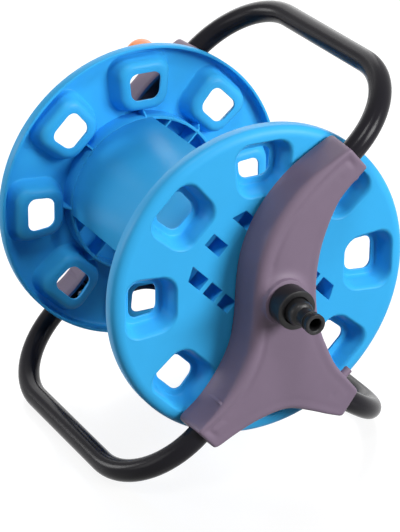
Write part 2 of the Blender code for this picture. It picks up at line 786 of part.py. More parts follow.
def reel_half(name, finish, parent, turn, bores, square=None):
    """One half of the reel: flange, pockets, hub ring, ribs, hub and its panel of the drum."""
    bm = bmesh.new()
    flange(bm)
    body = piece(name, bm, finish, parent, turn=(0.0, 0.0, turn))
    angles = [2 * pi * i / POCKETS for i in range(POCKETS)]
    skin = 2 * POCKET_SIDE_WALL

    bumps = bmesh.new()
    for angle in angles:
        loft(bumps, [
            at_x(rounded_pocket(POCKET_RADIAL + skin, POCKET_ACROSS + skin, POCKET_CORNER, angle), ROOT_X),
            at_x(rounded_pocket(POCKET_FLOOR_RADIAL + skin, POCKET_FLOOR_ACROSS + skin,
                                POCKET_FLOOR_CORNER, angle), POCKET_TOP_X),
        ])
    join(body, name + "_bumps", bumps)

    ring = bmesh.new()
    collar(ring, [(ROOT_X, DRUM_R), (RING_X, DRUM_R), (RING_X, DRUM_BORE_R), (ROOT_X, DRUM_BORE_R)], DRUM_SIDES)
    join(body, name + "_ring", ring)

    inside = bmesh.new()
    hub_ribs(inside)
    for angle in angles:
        gusset(inside, angle)
    join(body, name + "_ribs", inside, overlapping=True)

    hub = bmesh.new()
    prism(hub, circle(HUB_R, HUB_SIDES), ROOT_X, HUB_X)
    for y in (-ELBOW_EAR, ELBOW_EAR):
        prism(hub, circle(PILLAR_R, SMALL_SIDES, (y, 0.0)), ROOT_X, HUB_X)
    join(body, name + "_hub", hub, overlapping=True)

    panel = bmesh.new()
    drum_panel(panel)
    join(body, name + "_panel", panel)

    tongues = bmesh.new()
    tongue_r = DRUM_BORE_R - GAP
    for side in (-1, 1):
        near = side * TONGUE_START
        far = side * (TONGUE_START + TONGUE_WIDTH)
        outline = []
        for radius, ends in ((DRUM_BORE_R + DRUM_WALL / 2, (near, far)), (tongue_r - TONGUE_WALL, (far, near))):
            for z in ends:
                outline.append((-sqrt(radius ** 2 - z ** 2), z))
        inner_outline = [(-sqrt(tongue_r ** 2 - z ** 2), z) for z in (near, far)] + outline[2:]
        loft(tongues, [
            at_x(outline, -RING_X + TONGUE_ROOT),
            at_x(outline, -RING_X + TONGUE_STEP),
            at_x(inner_outline, -RING_X + SINK),
            at_x(inner_outline, -RING_X - TONGUE_LENGTH),
        ])
    join(body, name + "_tongues", tongues)

    pockets = bmesh.new()
    for angle in angles:
        loft(pockets, [
            at_x(rounded_pocket(POCKET_RADIAL, POCKET_ACROSS, POCKET_CORNER, angle), FACE_X + SINK),
            at_x(rounded_pocket(POCKET_RADIAL - 2 * POCKET_EASE, POCKET_ACROSS - 2 * POCKET_EASE,
                                POCKET_CORNER - POCKET_EASE / 2, angle), FACE_X - POCKET_EASE_DEPTH),
            at_x(rounded_pocket(POCKET_FLOOR_RADIAL, POCKET_FLOOR_ACROSS, POCKET_FLOOR_CORNER, angle),
                 FACE_X - POCKET_DEPTH),
        ])
    cut(body, name + "_pockets", pockets)

    openings = bmesh.new()
    for angle in angles:
        outline = rounded_pocket(POCKET_HOLE_RADIAL, POCKET_HOLE_ACROSS, POCKET_HOLE_CORNER, angle)
        prism(openings, outline, POCKET_TOP_X - PAST, FACE_X - WEB)
    for outline in window_outlines():
        prism(openings, outline, FACE_X - WEB - PAST, FACE_X + PAST)
    cut(body, name + "_openings", openings)

    holes = bmesh.new()
    spindle(holes, bores, HUB_SIDES)
    for y in (-ELBOW_EAR, ELBOW_EAR):
        prism(holes, circle(SCREW_R + GAP, SMALL_SIDES, (y, 0.0)), HUB_X - PAST, HUB_X + SCREW_GRIP)
    cut(body, name + "_holes", holes)
    if square is not None:
        cut(body, name + "_socket", square)


def front_reel_half(finish, parent):
    bore_r = JOURNAL_R + RUNNING_GAP
    bores = [(HUB_X - PAST, bore_r), (FACE_X + PAST, bore_r)]
    reel_half("front_reel_half", finish, parent, 0.0, bores)


def rear_reel_half(finish, parent):
    pilot = CRANK_SCREW_R + GAP
    bores = [(HUB_X - PAST, pilot), (FACE_X + PAST, pilot)]
    socket = bmesh.new()
    half = DRIVE_SQUARE / 2 + GAP
    angle = pi - (CRANK_REST - REEL_REST)
    prism(socket, turned(rectangle(-half, -half, half, half), angle), FACE_X - SOCKET_DEPTH, FACE_X + PAST)
    reel_half("rear_reel_half", finish, parent, pi, bores, square=socket)


def bush(name, side, finish, parent):
    """A plain bearing ring in a bracket's sleeve."""
    bm = bmesh.new()
    collar(bm, [
        (side * BUSH_X, BUSH_BORE_R), (side * BUSH_X, BUSH_R),
        (side * BUSH_END_X, BUSH_R), (side * BUSH_END_X, BUSH_BORE_R),
    ], HUB_SIDES)
    piece(name, bm, finish, parent)


def inlet_nipple(finish, parent):
    """The quick-connect nipple: a stem into the elbow, a shoulder under the collar, and the hose end."""
    bore = NIPPLE_BORE_R
    dome = NIPPLE_BODY_X + NIPPLE_BODY_LENGTH
    profile = [
        (STEM_X, bore),
        (STEM_X, STEM_R),
        (STEM_COLLAR_X, STEM_R),
        (STEM_COLLAR_X, STEM_COLLAR_R),
        (NIPPLE_BODY_X, STEM_COLLAR_R),
        (NIPPLE_BODY_X, NIPPLE_BODY_R),
        (dome, NIPPLE_BODY_R),
    ]
    for i in (1, 2):
        a = radians(45 * i)
        drop = (NIPPLE_BODY_R - NIPPLE_DOME_END_R) * (1 - cos(a))
        profile.append((dome + NIPPLE_DOME * sin(a), NIPPLE_BODY_R - drop))
    profile += [
        (NIPPLE_NECK_X + GAP, NIPPLE_NECK_R),
        (NIPPLE_RING_X, NIPPLE_NECK_R),
        (NIPPLE_RING_X, NIPPLE_RING_R),
        (NIPPLE_GROOVE_X, NIPPLE_RING_R),
        (NIPPLE_GROOVE_X, NIPPLE_NECK_R),
        (NIPPLE_TIP_X, NIPPLE_NECK_R),
        (NIPPLE_TIP_X, NIPPLE_TIP_R),
        (NIPPLE_END_X - EDGE, NIPPLE_TIP_R),
        (NIPPLE_END_X, NIPPLE_TIP_R - EDGE),
        (NIPPLE_END_X, bore),
    ]
    bm = bmesh.new()
    collar(bm, profile, HUB_SIDES)
    piece("inlet_nipple", bm, finish, parent)


def inlet_collar(finish, parent):
    """The collar that holds the nipple's shoulder on the bracket's spigot."""
    start = FRONT_BOSS_X + GAP
    end = start + COLLAR_LENGTH
    bore = SPIGOT_R + GAP
    lip = NIPPLE_BODY_R + GAP
    lip_x = NIPPLE_BODY_X + GAP
    bm = bmesh.new()
    collar(bm, [
        (start, bore), (start, COLLAR_R), (end - COLLAR_EDGE, COLLAR_R), (end, COLLAR_R - COLLAR_EDGE),
        (end, lip), (lip_x, lip), (lip_x, bore),
    ], HUB_SIDES)
    piece("inlet_collar", bm, finish, parent)


def stem_seal(name, x, finish, parent):
    """A rubber ring on the nipple's stem, inside the elbow's seat."""
    middle = (STEM_R + ELBOW_SEAT_R) / 2
    bm = bmesh.new()
    section = [(x + SEAL_R * cos(a), middle + SEAL_R * sin(a)) for a in (radians(72 * i) for i in range(5))]
    collar(bm, section, FITTING_SIDES)
    piece(name, bm, finish, parent)


def water_elbow(finish, screw_finish, parent):
    """The turning elbow: its journal runs in the front bush and its outlet feeds the hose."""
    bm = bmesh.new()
    prism(bm, circle(JOURNAL_R, HUB_SIDES), BUSH_END_X, ELBOW_END_X)
    body = piece("water_elbow", bm, finish, parent)

    flange_shape = bmesh.new()
    outline = []
    ear_lean = acos((ELBOW_FLANGE_R - ELBOW_EAR_R) / ELBOW_EAR)
    for side in (0, pi):
        for i in range(7):
            a = side + ear_lean * (2 * i / 6 - 1)
            outline.append((ELBOW_EAR * cos(side) + ELBOW_EAR_R * cos(a), ELBOW_EAR_R * sin(a)))
        for i in range(1, 5):
            a = side + ear_lean + (pi - 2 * ear_lean) * i / 5
            outline.append((ELBOW_FLANGE_R * cos(a), ELBOW_FLANGE_R * sin(a)))
    prism(flange_shape, outline, ELBOW_BODY_X, ELBOW_FLANGE_X)
    join(body, "elbow_flange", flange_shape)

    outlet = bmesh.new()
    loft(outlet, along_outlet([(0.0, ELBOW_OUTLET_R), (ELBOW_OUTLET, ELBOW_OUTLET_R)], FITTING_SIDES))
    join(body, "elbow_outlet", outlet)

    bores = bmesh.new()
    seat_end = HUB_X + ELBOW_SEAT_START
    spindle(bores, [
        (BUSH_END_X + PAST, ELBOW_SEAT_R), (seat_end, ELBOW_SEAT_R),
        (seat_end, ELBOW_BORE_R), (ELBOW_OUTLET_X, ELBOW_BORE_R),
    ], HUB_SIDES)
    for y in (-ELBOW_EAR, ELBOW_EAR):
        prism(bores, circle(SCREW_R + GAP, SMALL_SIDES, (y, 0.0)), ELBOW_BODY_X - PAST, ELBOW_FLANGE_X + PAST)
    cut(body, "elbow_bores", bores)
    way_out = bmesh.new()
    way_profile = [(-ELBOW_BORE_R / 2, ELBOW_BORE_R), (ELBOW_OUTLET + PAST, ELBOW_BORE_R)]
    loft(way_out, along_outlet(way_profile, SMALL_SIDES))
    cut(body, "elbow_outlet_bore", way_out)

    head = ELBOW_BODY_X - GAP
    end = HUB_X + SCREW_GRIP - GAP
    for i, y in enumerate((-ELBOW_EAR, ELBOW_EAR)):
        screw = bmesh.new()
        spindle(screw, [
            (head - SCREW_HEAD, SCREW_HEAD_R * SCREW_HEAD_TAPER),
            (head - SCREW_HEAD * SCREW_HEAD_TAPER, SCREW_HEAD_R),
            (head, SCREW_HEAD_R), (head, SCREW_R), (end - SCREW_R, SCREW_R), (end, SCREW_R / 2),
        ], SMALL_SIDES)
        piece(f"elbow_screw_{i + 1}", screw, screw_finish, parent, place=(0.0, y, 0.0))


def along_outlet(profile, sides):
    """Turned rings about the elbow's outlet, from (distance from the axle, radius) pairs."""
    return [[(ELBOW_OUTLET_X + a, b, z) for a, b in circle(radius, sides)] for z, radius in profile]


def outlet_fittings(finish, parent):
    """The nut and the barbed tail that take the hose's inner end."""
    seat = ELBOW_OUTLET + GAP
    flange_end = seat + BARB_FLANGE
    nut_bore = ELBOW_OUTLET_R + GAP
    nut_end = flange_end + GAP + NUT_LIP
    nut = bmesh.new()
    nut_profile = [
        (NUT_START, nut_bore), (NUT_START, NUT_R), (nut_end, NUT_R), (nut_end, BARB_R + 2 * GAP),
        (flange_end + GAP, BARB_R + 2 * GAP), (flange_end + GAP, nut_bore),
    ]
    loft(nut, along_outlet(nut_profile, FITTING_SIDES), closed=True)
    piece("outlet_nut", nut, finish, parent)

    profile = [(seat, BARB_BORE_R), (seat, ELBOW_OUTLET_R), (flange_end, ELBOW_OUTLET_R)]
    tail = nut_end + BARB_DROP
    profile += [(flange_end, BARB_R), (tail, BARB_R)]
    pitch = (BARB_LENGTH - (tail - seat)) / BARB_RIDGES
    for i in range(BARB_RIDGES):
        start = tail + pitch * i
        profile += [(start + GAP, BARB_R), (start + pitch, BARB_R - BARB_DROP)]
    profile.append((profile[-1][0], BARB_BORE_R))
    barb = bmesh.new()
    loft(barb, along_outlet(profile, FITTING_SIDES), closed=True)
    piece("outlet_barb", barb, finish, parent)


def crank_arm(finish, screw_finish, washer_finish, parent):
    """The crank: hub, journal and square drive in one moulding with its arm."""
    bm = bmesh.new()
    lean = acos((CRANK_HUB_R - CRANK_END_R) / CRANK_R)
    outline = []
    for i in range(7):
        a = -lean + 2 * lean * i / 6
        outline.append((CRANK_R + CRANK_END_R * cos(a), CRANK_END_R * sin(a)))
    for i in range(11):
        a = lean + (2 * pi - 2 * lean) * i / 10
        outline.append((CRANK_HUB_R * cos(a), CRANK_HUB_R * sin(a)))
    prism(bm, outline, -CRANK_X, -CRANK_ARM_X)
    body = piece("crank_arm", bm, finish, parent, turn=(CRANK_REST - REEL_REST, 0.0, 0.0))

    bosses = bmesh.new()
    prism(bosses, circle(CRANK_HUB_R - CRANK_HUB_STEP, HUB_SIDES), -CRANK_X - SINK, -CRANK_FACE_X)
    prism(bosses, circle(CRANK_BOSS_R, HUB_SIDES, (CRANK_R, 0.0)), -CRANK_X - SINK, -CRANK_FACE_X)
    join(body, "crank_bosses", bosses)
    shaft = bmesh.new()
    journal_end = FACE_X + GAP
    prism(shaft, circle(JOURNAL_R, HUB_SIDES), -CRANK_X - SINK, -journal_end)
    join(body, "crank_journal", shaft)
    drive = bmesh.new()
    half = DRIVE_SQUARE / 2
    prism(drive, rectangle(-half, -half, half, half), -journal_end - SINK, -(FACE_X - SOCKET_DEPTH + GAP))
    join(body, "crank_drive", drive)

    bores = bmesh.new()
    counterbore = CRANK_FACE_X - CRANK_SCREW_HEAD - 2 * GAP
    spindle(bores, [
        (-CRANK_FACE_X - PAST, CRANK_SCREW_HEAD_R + GAP), (-counterbore, CRANK_SCREW_HEAD_R + GAP),
        (-counterbore, CRANK_SCREW_R + GAP), (-FACE_X + SOCKET_DEPTH + PAST, CRANK_SCREW_R + GAP),
    ], HUB_SIDES)
    pin_hole = circle(KNOB_PIN_R + GAP, HUB_SIDES, (CRANK_R, 0.0))
    prism(bores, pin_hole, -CRANK_FACE_X - PAST, -CRANK_X - KNOB_PIN_SKIN)
    cut(body, "crank_bores", bores)

    screw = bmesh.new()
    head = counterbore + GAP
    end = HUB_X + SCREW_SKIN
    spindle(screw, [
        (-head - CRANK_SCREW_HEAD, CRANK_SCREW_HEAD_R * SCREW_HEAD_TAPER),
        (-head - CRANK_SCREW_HEAD * SCREW_HEAD_TAPER, CRANK_SCREW_HEAD_R),
        (-head, CRANK_SCREW_HEAD_R), (-head, CRANK_SCREW_R),
        (-end - CRANK_SCREW_R, CRANK_SCREW_R), (-end, CRANK_SCREW_R / 2),
    ], SMALL_SIDES)
    piece("crank_screw", screw, screw_finish, body)
    washer = bmesh.new()
    near = REAR_BOSS_X + GAP
    collar(washer, [
        (-near, JOURNAL_R + GAP), (-near, WASHER_R),
        (-near - WASHER, WASHER_R), (-near - WASHER, JOURNAL_R + GAP),
    ], HUB_SIDES)
    piece("crank_washer", washer, washer_finish, body)
    return body


def knob(finish, pin_finish, cap_finish, crank):
    """The knob, its pin and its cap, which turn about the crank's pin."""
    axis = empty("knob_axis", (0.0, CRANK_R, 0.0), parent=crank)
    recess = KNOB_END_X - KNOB_RECESS
    bore = KNOB_PIN_R + RUNNING_GAP
    mouth = KNOB_PIN_HEAD_R + 2 * GAP
    profile = [(-KNOB_X, bore), (-KNOB_X, KNOB_FOOT_R - EDGE), (-KNOB_X - EDGE, KNOB_FOOT_R)]
    for share, swell in KNOB_SWELL:
        profile.append((-KNOB_X - KNOB_LENGTH * share, KNOB_FOOT_R + (KNOB_R - KNOB_FOOT_R) * swell))
    for share, drop in KNOB_ROUND:
        profile.append((-KNOB_X - KNOB_LENGTH * share, KNOB_R - drop))
    profile += [(-KNOB_END_X, mouth), (-recess, mouth), (-recess, bore)]
    body = bmesh.new()
    collar(body, profile, HUB_SIDES)
    piece("crank_knob", body, finish, axis)

    pin = bmesh.new()
    head = recess + GAP
    spindle(pin, [
        (-CRANK_X - KNOB_PIN_SKIN - GAP, KNOB_PIN_R), (-head, KNOB_PIN_R), (-head, KNOB_PIN_HEAD_R),
        (-head - KNOB_PIN_HEAD, KNOB_PIN_HEAD_R), (-head - KNOB_PIN_HEAD - EDGE, KNOB_PIN_HEAD_R - 2 * EDGE),
    ], HUB_SIDES)
    piece("knob_pin", pin, pin_finish, crank, place=(0.0, CRANK_R, 0.0))

    cap = bmesh.new()
    cap_r = mouth - GAP
    spindle(cap, [
        (-KNOB_END_X + KNOB_CAP, cap_r), (-KNOB_END_X + EDGE, cap_r), (-KNOB_END_X, cap_r - EDGE),
    ], HUB_SIDES)
    piece("knob_cap", cap, cap_finish, axis)


clear_scene()
FLANGE_BLUE = material("flange_blue", (0.060, 0.455, 0.835), 0.42)
BRACKET_MAUVE = material("bracket_mauve", (0.205, 0.158, 0.235), 0.55)
TUBE_BLACK = material("tube_black", (0.016, 0.015, 0.018), 0.30)
FITTING_BLACK = material("fitting_black", (0.018, 0.018, 0.019), 0.35)
KNOB_ORANGE = material("knob_orange", (1.0, 0.30, 0.07), 0.40)
BUSH_WHITE = material("bush_white", (0.72, 0.71, 0.68), 0.45)
SEAL_RUBBER = material("seal_rubber", (0.02, 0.02, 0.02), 0.70)
SCREW_STEEL = material("screw_steel", (0.55, 0.55, 0.56), 0.30, 1.0)

frame_centre = empty("frame_centre", REEL_CENTRE)
reel_axis = empty("reel_axis", REEL_CENTRE, REEL_REST)

front_bracket(BRACKET_MAUVE, frame_centre)
rear_bracket(BRACKET_MAUVE, frame_centre)
for tube_name, (tube_bar, tube_lean) in zip(("handle", "left_foot", "right_foot"), ARMS):
    bent_tube(tube_name + "_tube", tube_bar, tube_lean, TUBE_BLACK, frame_centre)
    tube_screw(tube_name + "_front_screw", 1, tube_bar, tube_lean, SCREW_STEEL, frame_centre)
    tube_screw(tube_name + "_rear_screw", -1, tube_bar, tube_lean, SCREW_STEEL, frame_centre)
bush("front_bush", 1, BUSH_WHITE, frame_centre)
bush("rear_bush", -1, BUSH_WHITE, frame_centre)
inlet_nipple(FITTING_BLACK, frame_centre)
inlet_collar(FITTING_BLACK, frame_centre)
for number in (1, 2):
    stem_seal(f"stem_seal_{number}", STEM_X + SEAL_PITCH * number, SEAL_RUBBER, frame_centre)

front_reel_half(FLANGE_BLUE, reel_axis)
rear_reel_half(FLANGE_BLUE, reel_axis)
water_elbow(FITTING_BLACK, SCREW_STEEL, reel_axis)
outlet_fittings(FITTING_BLACK, reel_axis)
crank = crank_arm(FITTING_BLACK, SCREW_STEEL, BUSH_WHITE, reel_axis)
knob(KNOB_ORANGE, SCREW_STEEL, FITTING_BLACK, crank)
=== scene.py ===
"""A hose reel that turns between two brackets on bent tubes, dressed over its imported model.

X runs along the axle towards the water inlet. All sizes are in metres, and the floor is z = 0.
"""

from math import acos, asin, atan2, cos, pi, radians, sin, sqrt

import bmesh
import bpy
import numpy as np
from mathutils import Matrix, Vector
from mathutils.geometry import delaunay_2d_cdt


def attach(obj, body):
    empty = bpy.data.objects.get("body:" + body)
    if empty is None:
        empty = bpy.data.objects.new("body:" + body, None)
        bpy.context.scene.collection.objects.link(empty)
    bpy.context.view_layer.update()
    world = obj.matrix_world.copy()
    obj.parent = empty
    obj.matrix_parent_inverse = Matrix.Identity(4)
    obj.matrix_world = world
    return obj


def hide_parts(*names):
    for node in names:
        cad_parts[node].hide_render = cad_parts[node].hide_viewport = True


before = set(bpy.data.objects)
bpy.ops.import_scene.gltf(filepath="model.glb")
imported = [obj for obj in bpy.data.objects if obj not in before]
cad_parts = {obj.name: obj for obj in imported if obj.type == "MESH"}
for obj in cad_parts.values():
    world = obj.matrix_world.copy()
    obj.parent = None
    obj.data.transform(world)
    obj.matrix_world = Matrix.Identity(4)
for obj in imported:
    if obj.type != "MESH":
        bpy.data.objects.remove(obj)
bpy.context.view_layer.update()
# Camera
# The photograph looks down on the inlet's side from the left, with a long lens. The camera was fitted to the
# rims of the two flanges, to their pockets and to the bends of the tubes.
axle = Vector((0.00225, 0.0, 0.158837))
seen_right = Vector((0.46388, 0.88574, -0.01679))
seen_down = Vector((0.36792, -0.20986, -0.90587))
seen_away = Vector((-0.80589, 0.41403, -0.42323))
seen_from = Vector((1.7002, -0.8709, 0.8625))


def in_scene(name, data):
    """Puts an object with this data into the scene, at the origin."""
    item = bpy.data.objects.new(name, data)
    bpy.context.scene.collection.objects.link(item)
    return item


camera_data = bpy.data.cameras.new("camera")
camera_data.lens = 173.0
camera_data.sensor_width = 36.0
camera_data.clip_start = 0.1
camera_data.clip_end = 50.0
camera = in_scene("camera", camera_data)
turned_to_view = Matrix((seen_right, -seen_down, -seen_away)).transposed().to_4x4()
camera.matrix_world = Matrix.Translation(axle + seen_from) @ turned_to_view
bpy.context.scene.camera = camera

# Reel halves
# Each flange is one injection moulding in sky-blue polypropylene with its pockets, hub, ring and half of the
# drum. The two halves are alike. One is turned round to face the other, and each panel meets the other's ring.
reel_rest = radians(-46.5)
flange_r = 0.130
face_x = 0.1114
web = 0.003
back_x = face_x - web
hub_x = face_x - 0.020
ring_x = face_x - 0.0199
drum_r = 0.070
drum_wall = 0.0026
drum_bore_r = drum_r - drum_wall
rib = 0.0016
journal_r = 0.011
elbow_screw_y = 0.022


def circle(radius, sides, centre=(0.0, 0.0)):
    steps = [2 * pi * i / sides for i in range(sides)]
    return [(centre[0] + radius * cos(a), centre[1] + radius * sin(a)) for a in steps]


def at_x(outline, x):
    return [(x, y, z) for y, z in outline]


def turned(profile, sides, centre=(0.0, 0.0)):
    """Rings about the axle, one for each (x, radius) pair."""
    return [at_x(circle(radius, sides, centre), x) for x, radius in profile]


def wall(bm, rows, closed=False):
    """Skins a row of rings and returns their vertices. A closed row joins its last ring to its first."""
    rings = [[bm.verts.new(point) for point in row] for row in rows]
    count = len(rings[0])
    for ring, other in zip(rings, rings[1:] + rings[:1] if closed else rings[1:]):
        for i in range(count):
            j = (i + 1) % count
            bm.faces.new((ring[i], ring[j], other[j], other[i]))
    return rings


def cover(bm, *loops):
    """Fills the flat area inside the first loop of vertices and outside the others."""
    edges = []
    for loop in loops:
        for a, b in zip(loop, loop[1:] + loop[:1]):
            edges.append(bm.edges.get((a, b)) or bm.edges.new((a, b)))
    bmesh.ops.triangle_fill(bm, use_beauty=True, use_dissolve=False, edges=edges)


def capped(bm, rows):
    """A solid from a row of rings, with its two end rings filled."""
    rings = wall(bm, rows)
    cover(bm, rings[0])
    cover(bm, rings[-1])


def outset(outline, distance):
    """A closed outline moved outwards, where it runs anticlockwise."""
    count = len(outline)
    moved = []
    for i, point in enumerate(outline):
        before = (Vector(point) - Vector(outline[i - 1])).normalized()
        beyond = (Vector(outline[(i + 1) % count]) - Vector(point)).normalized()
        normal = Vector((before.y + beyond.y, -before.x - beyond.x)).normalized()
        slant = max(0.35, normal.dot(Vector((before.y, -before.x))))
        moved.append(tuple(Vector(point) + normal * (distance / slant)))
    return moved


def stepped(outline, *steps):
    """Rings of one outline, one for each (distance outwards, x) pair."""
    return [at_x(outset(outline, by) if by else outline, x) for by, x in steps]


def soft_point(start, corner, end, t):
    """A number or vector at a share t of the way along the curve that rounds a corner."""
    return start * (1 - t) ** 2 + corner * 2 * t * (1 - t) + end * t * t


def eased(outline, radius, steps=3):
    """A closed outline with each corner rounded, as far as its two sides have room."""
    count = len(outline)
    most = 0.45
    points = []
    for i, point in enumerate(outline):
        corner = Vector(point)
        back = Vector(outline[i - 1]) - corner
        on = Vector(outline[(i + 1) % count]) - corner
        reach = min(radius, back.length * most, on.length * most)
        start = corner + back.normalized() * reach
        end = corner + on.normalized() * reach
        points += [tuple(soft_point(start, corner, end, k / steps)) for k in range(steps + 1)]
    return points


def lathe(bm, profile, sides=64, centre=(0.0, 0.0), ease=0.0004):
    """A turned piece along X with a bore, from a closed loop of (x, radius) pairs."""
    wall(bm, turned(eased(profile, ease), sides, centre), closed=True)


def made_sound(bm):
    """Merges doubled vertices and turns the faces outwards."""
    bmesh.ops.remove_doubles(bm, verts=bm.verts, dist=1e-7)
    bmesh.ops.recalc_face_normals(bm, faces=bm.faces)


def mesh_of(name, bm):
    mesh = bpy.data.meshes.new(name)
    bm.to_mesh(mesh)
    bm.free()
    return mesh


def finished(name, bm, finish, body, slot, *stood_for, place=None, crease=34):
    """Makes the piece at the origin, with its place in its mesh, and hands it to its body."""
    made_sound(bm)
    mesh = mesh_of(name, bm)
    mesh.transform(place or Matrix.Translation(axle))
    mesh.shade_smooth()
    mesh.set_sharp_from_angle(angle=radians(crease))
    mesh.materials.clear()
    mesh.materials.append(finish)
    item = in_scene(name, mesh)
    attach(item, body)
    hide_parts(*stood_for)


def joined(tree, kind, values=None, **settings):
    """Adds a node to a tree, with its settings and its inputs. An input takes a plain value, a socket, a node,
    which stands for its first output, or a list of these where it holds several."""
    node = tree.nodes.new(kind)
    for key, value in settings.items():
        setattr(node, key, value)
    for key, value in (values or {}).items():
        for given in value if isinstance(value, list) else [value]:
            if isinstance(given, bpy.types.Node):
                given = next(output for output in given.outputs if output.enabled)
            if isinstance(given, bpy.types.NodeSocket):
                tree.links.new(given, node.inputs[key])
            else:
                node.inputs[key].default_value = given
    return node


def reckon(tree, operation, a, b):
    return joined(tree, "ShaderNodeMath", {0: a, 1: b}, operation=operation)


def spread(tree, value, low, high, **limits):
    """Maps a value from 0 to 1, or from the limits given, onto the range from low to high."""
    limits = {key.replace("_", " "): limit for key, limit in limits.items()}
    return joined(tree, "ShaderNodeMapRange", {"Value": value, **limits, "To Min": low, "To Max": high})


def new_tree(name, kind, inputs, outputs):
    """An empty node tree with named inputs and outputs. Gives the tree and its inputs."""
    tree = bpy.data.node_groups.new(name, kind)
    for way, sockets in (("INPUT", inputs), ("OUTPUT", outputs)):
        for label, socket in sockets.items():
            tree.interface.new_socket(label, in_out=way, socket_type="NodeSocket" + socket)
    return tree, tree.nodes.new("NodeGroupInput").outputs


# How moulded plastic looks close to: slow drifts of tone from its flow in the mould, a fine spark-eroded grain,
# and a painted highlight that lightens sharp convex edges towards a second, paler colour.
look_outputs = {"Colour": "Color", "Roughness": "Float", "Normal": "Vector"}
moulded, mould_in = new_tree(
    "moulded plastic", "ShaderNodeTree",
    {"Colour": "Color", "Edge highlight": "Color", "Flow size": "Float", "Flow": "Float", "Grain size": "Float",
     "Grain": "Float", "Roughness": "Float"}, look_outputs)
on_piece = joined(moulded, "ShaderNodeTexCoord").outputs["Object"]
flow = joined(moulded, "ShaderNodeTexNoise",
              {"Vector": on_piece, "Scale": mould_in["Flow size"], "Detail": 3.0, "Roughness": 0.55})
flow_drift = spread(moulded, flow, -1.0, 1.0, From_Min=0.3, From_Max=0.7)
flow_tone = reckon(moulded, "MULTIPLY", flow_drift, mould_in["Flow"])
toned = joined(moulded, "ShaderNodeHueSaturation",
               {"Color": mould_in["Colour"], "Value": reckon(moulded, "ADD", flow_tone, 1.0)})
# Painted highlight: where Pointiness finds a sharp convex edge, the colour is lightened towards the highlight colour.
pointed = joined(moulded, "ShaderNodeNewGeometry").outputs["Pointiness"]
edge_highlight = spread(moulded, pointed, 0.0, 0.40, From_Min=0.56, From_Max=0.66)
with_edge_highlight = joined(moulded, "ShaderNodeMix", {"Factor": edge_highlight, "A": toned, "B": mould_in["Edge highlight"]}, data_type="RGBA")
grain = joined(moulded, "ShaderNodeTexNoise",
               {"Vector": on_piece, "Scale": mould_in["Grain size"], "Detail": 2.0, "Roughness": 0.6})
# Where the flow left a paler tone, the skin is a little glossier.
uneven = reckon(moulded, "ADD", reckon(moulded, "MULTIPLY", flow_tone, -0.6), spread(moulded, grain, -0.03, 0.03))
grain_bump = joined(moulded, "ShaderNodeBump", {"Strength": mould_in["Grain"], "Distance": 0.0001, "Height": grain})
joined(moulded, "NodeGroupOutput", {
    "Colour": with_edge_highlight, "Roughness": reckon(moulded, "ADD", uneven, mould_in["Roughness"]), "Normal": grain_bump})


def finish_of(name, shown, effect, values, own):
    """A material. Its colour, roughness and normal come from an effect, and the rest is the shader's own."""
    finish = bpy.data.materials.new(name)
    finish.use_nodes = True
    finish.diffuse_color = (*shown, 1.0)
    tree = finish.node_tree
    shader = tree.nodes["Principled BSDF"]
    for key, value in own.items():
        shader.inputs[key].default_value = value
    look = joined(tree, "ShaderNodeGroup", values, node_tree=effect)
    for key, socket in (("Colour", "Base Color"), ("Roughness", "Roughness"), ("Normal", "Normal")):
        tree.links.new(look.outputs[key], shader.inputs[socket])
    return finish


def plastic(name, colour, highlight_colour, flow_size, flow_strength, grain_size, grain_strength, roughness, gloss=0.5):
    """A moulded plastic finish, whose second colour is painted on its sharp edges as a highlight."""
    values = {"Colour": (*colour, 1.0), "Edge highlight": (*highlight_colour, 1.0), "Flow size": flow_size, "Flow": flow_strength,
              "Grain size": grain_size, "Grain": grain_strength, "Roughness": roughness}
    return finish_of(name, colour, moulded, values, {"Specular IOR Level": gloss})


sky_blue = plastic("sky blue polypropylene", (0.042, 0.435, 0.860), (0.042, 0.435, 0.860), 22.0, 0.025,
                   1800.0, 0.10, 0.40, 0.15)

pocket_sides = 9
pocket_flare = 0.16
pocket_r = 0.097
opening = (0.045, 0.049, 0.014)
floor_size = (0.036, 0.038, 0.0115)
hole_size = (0.024, 0.0275, 0.0072)
skin = 0.0048
pocket_depth = 0.0166
floor_wall = 0.0022


def between(a, b, t):
    return tuple(p + (q - p) * t for p, q in zip(a, b))


def grown(size, by):
    return (size[0] + 2 * by, size[1] + 2 * by, size[2] + by)


def pocket_ring(size, angle, x):
    """A rounded rectangle at a pocket's place, a little wider towards the rim."""
    radial, across, corner = size
    ring = []
    for side_u, side_n, start in ((1, 1, 0), (-1, 1, 90), (-1, -1, 180), (1, -1, 270)):
        for i in range(pocket_sides):
            a = radians(start + 90 * i / (pocket_sides - 1))
            u = side_u * (radial / 2 - corner) + corner * cos(a)
            n = (side_n * (across / 2 - corner) + corner * sin(a)) * (1 + pocket_flare * u / radial)
            out = pocket_r + u
            ring.append((x, out * cos(angle) - n * sin(angle), out * sin(angle) + n * cos(angle)))
    return ring


def curve_between(start, corner, end, steps):
    """Points of a soft corner in (fraction, depth) terms."""
    return [tuple(soft_point(a, b, c, k / steps) for a, b, c in zip(start, corner, end)) for k in range(steps + 1)]


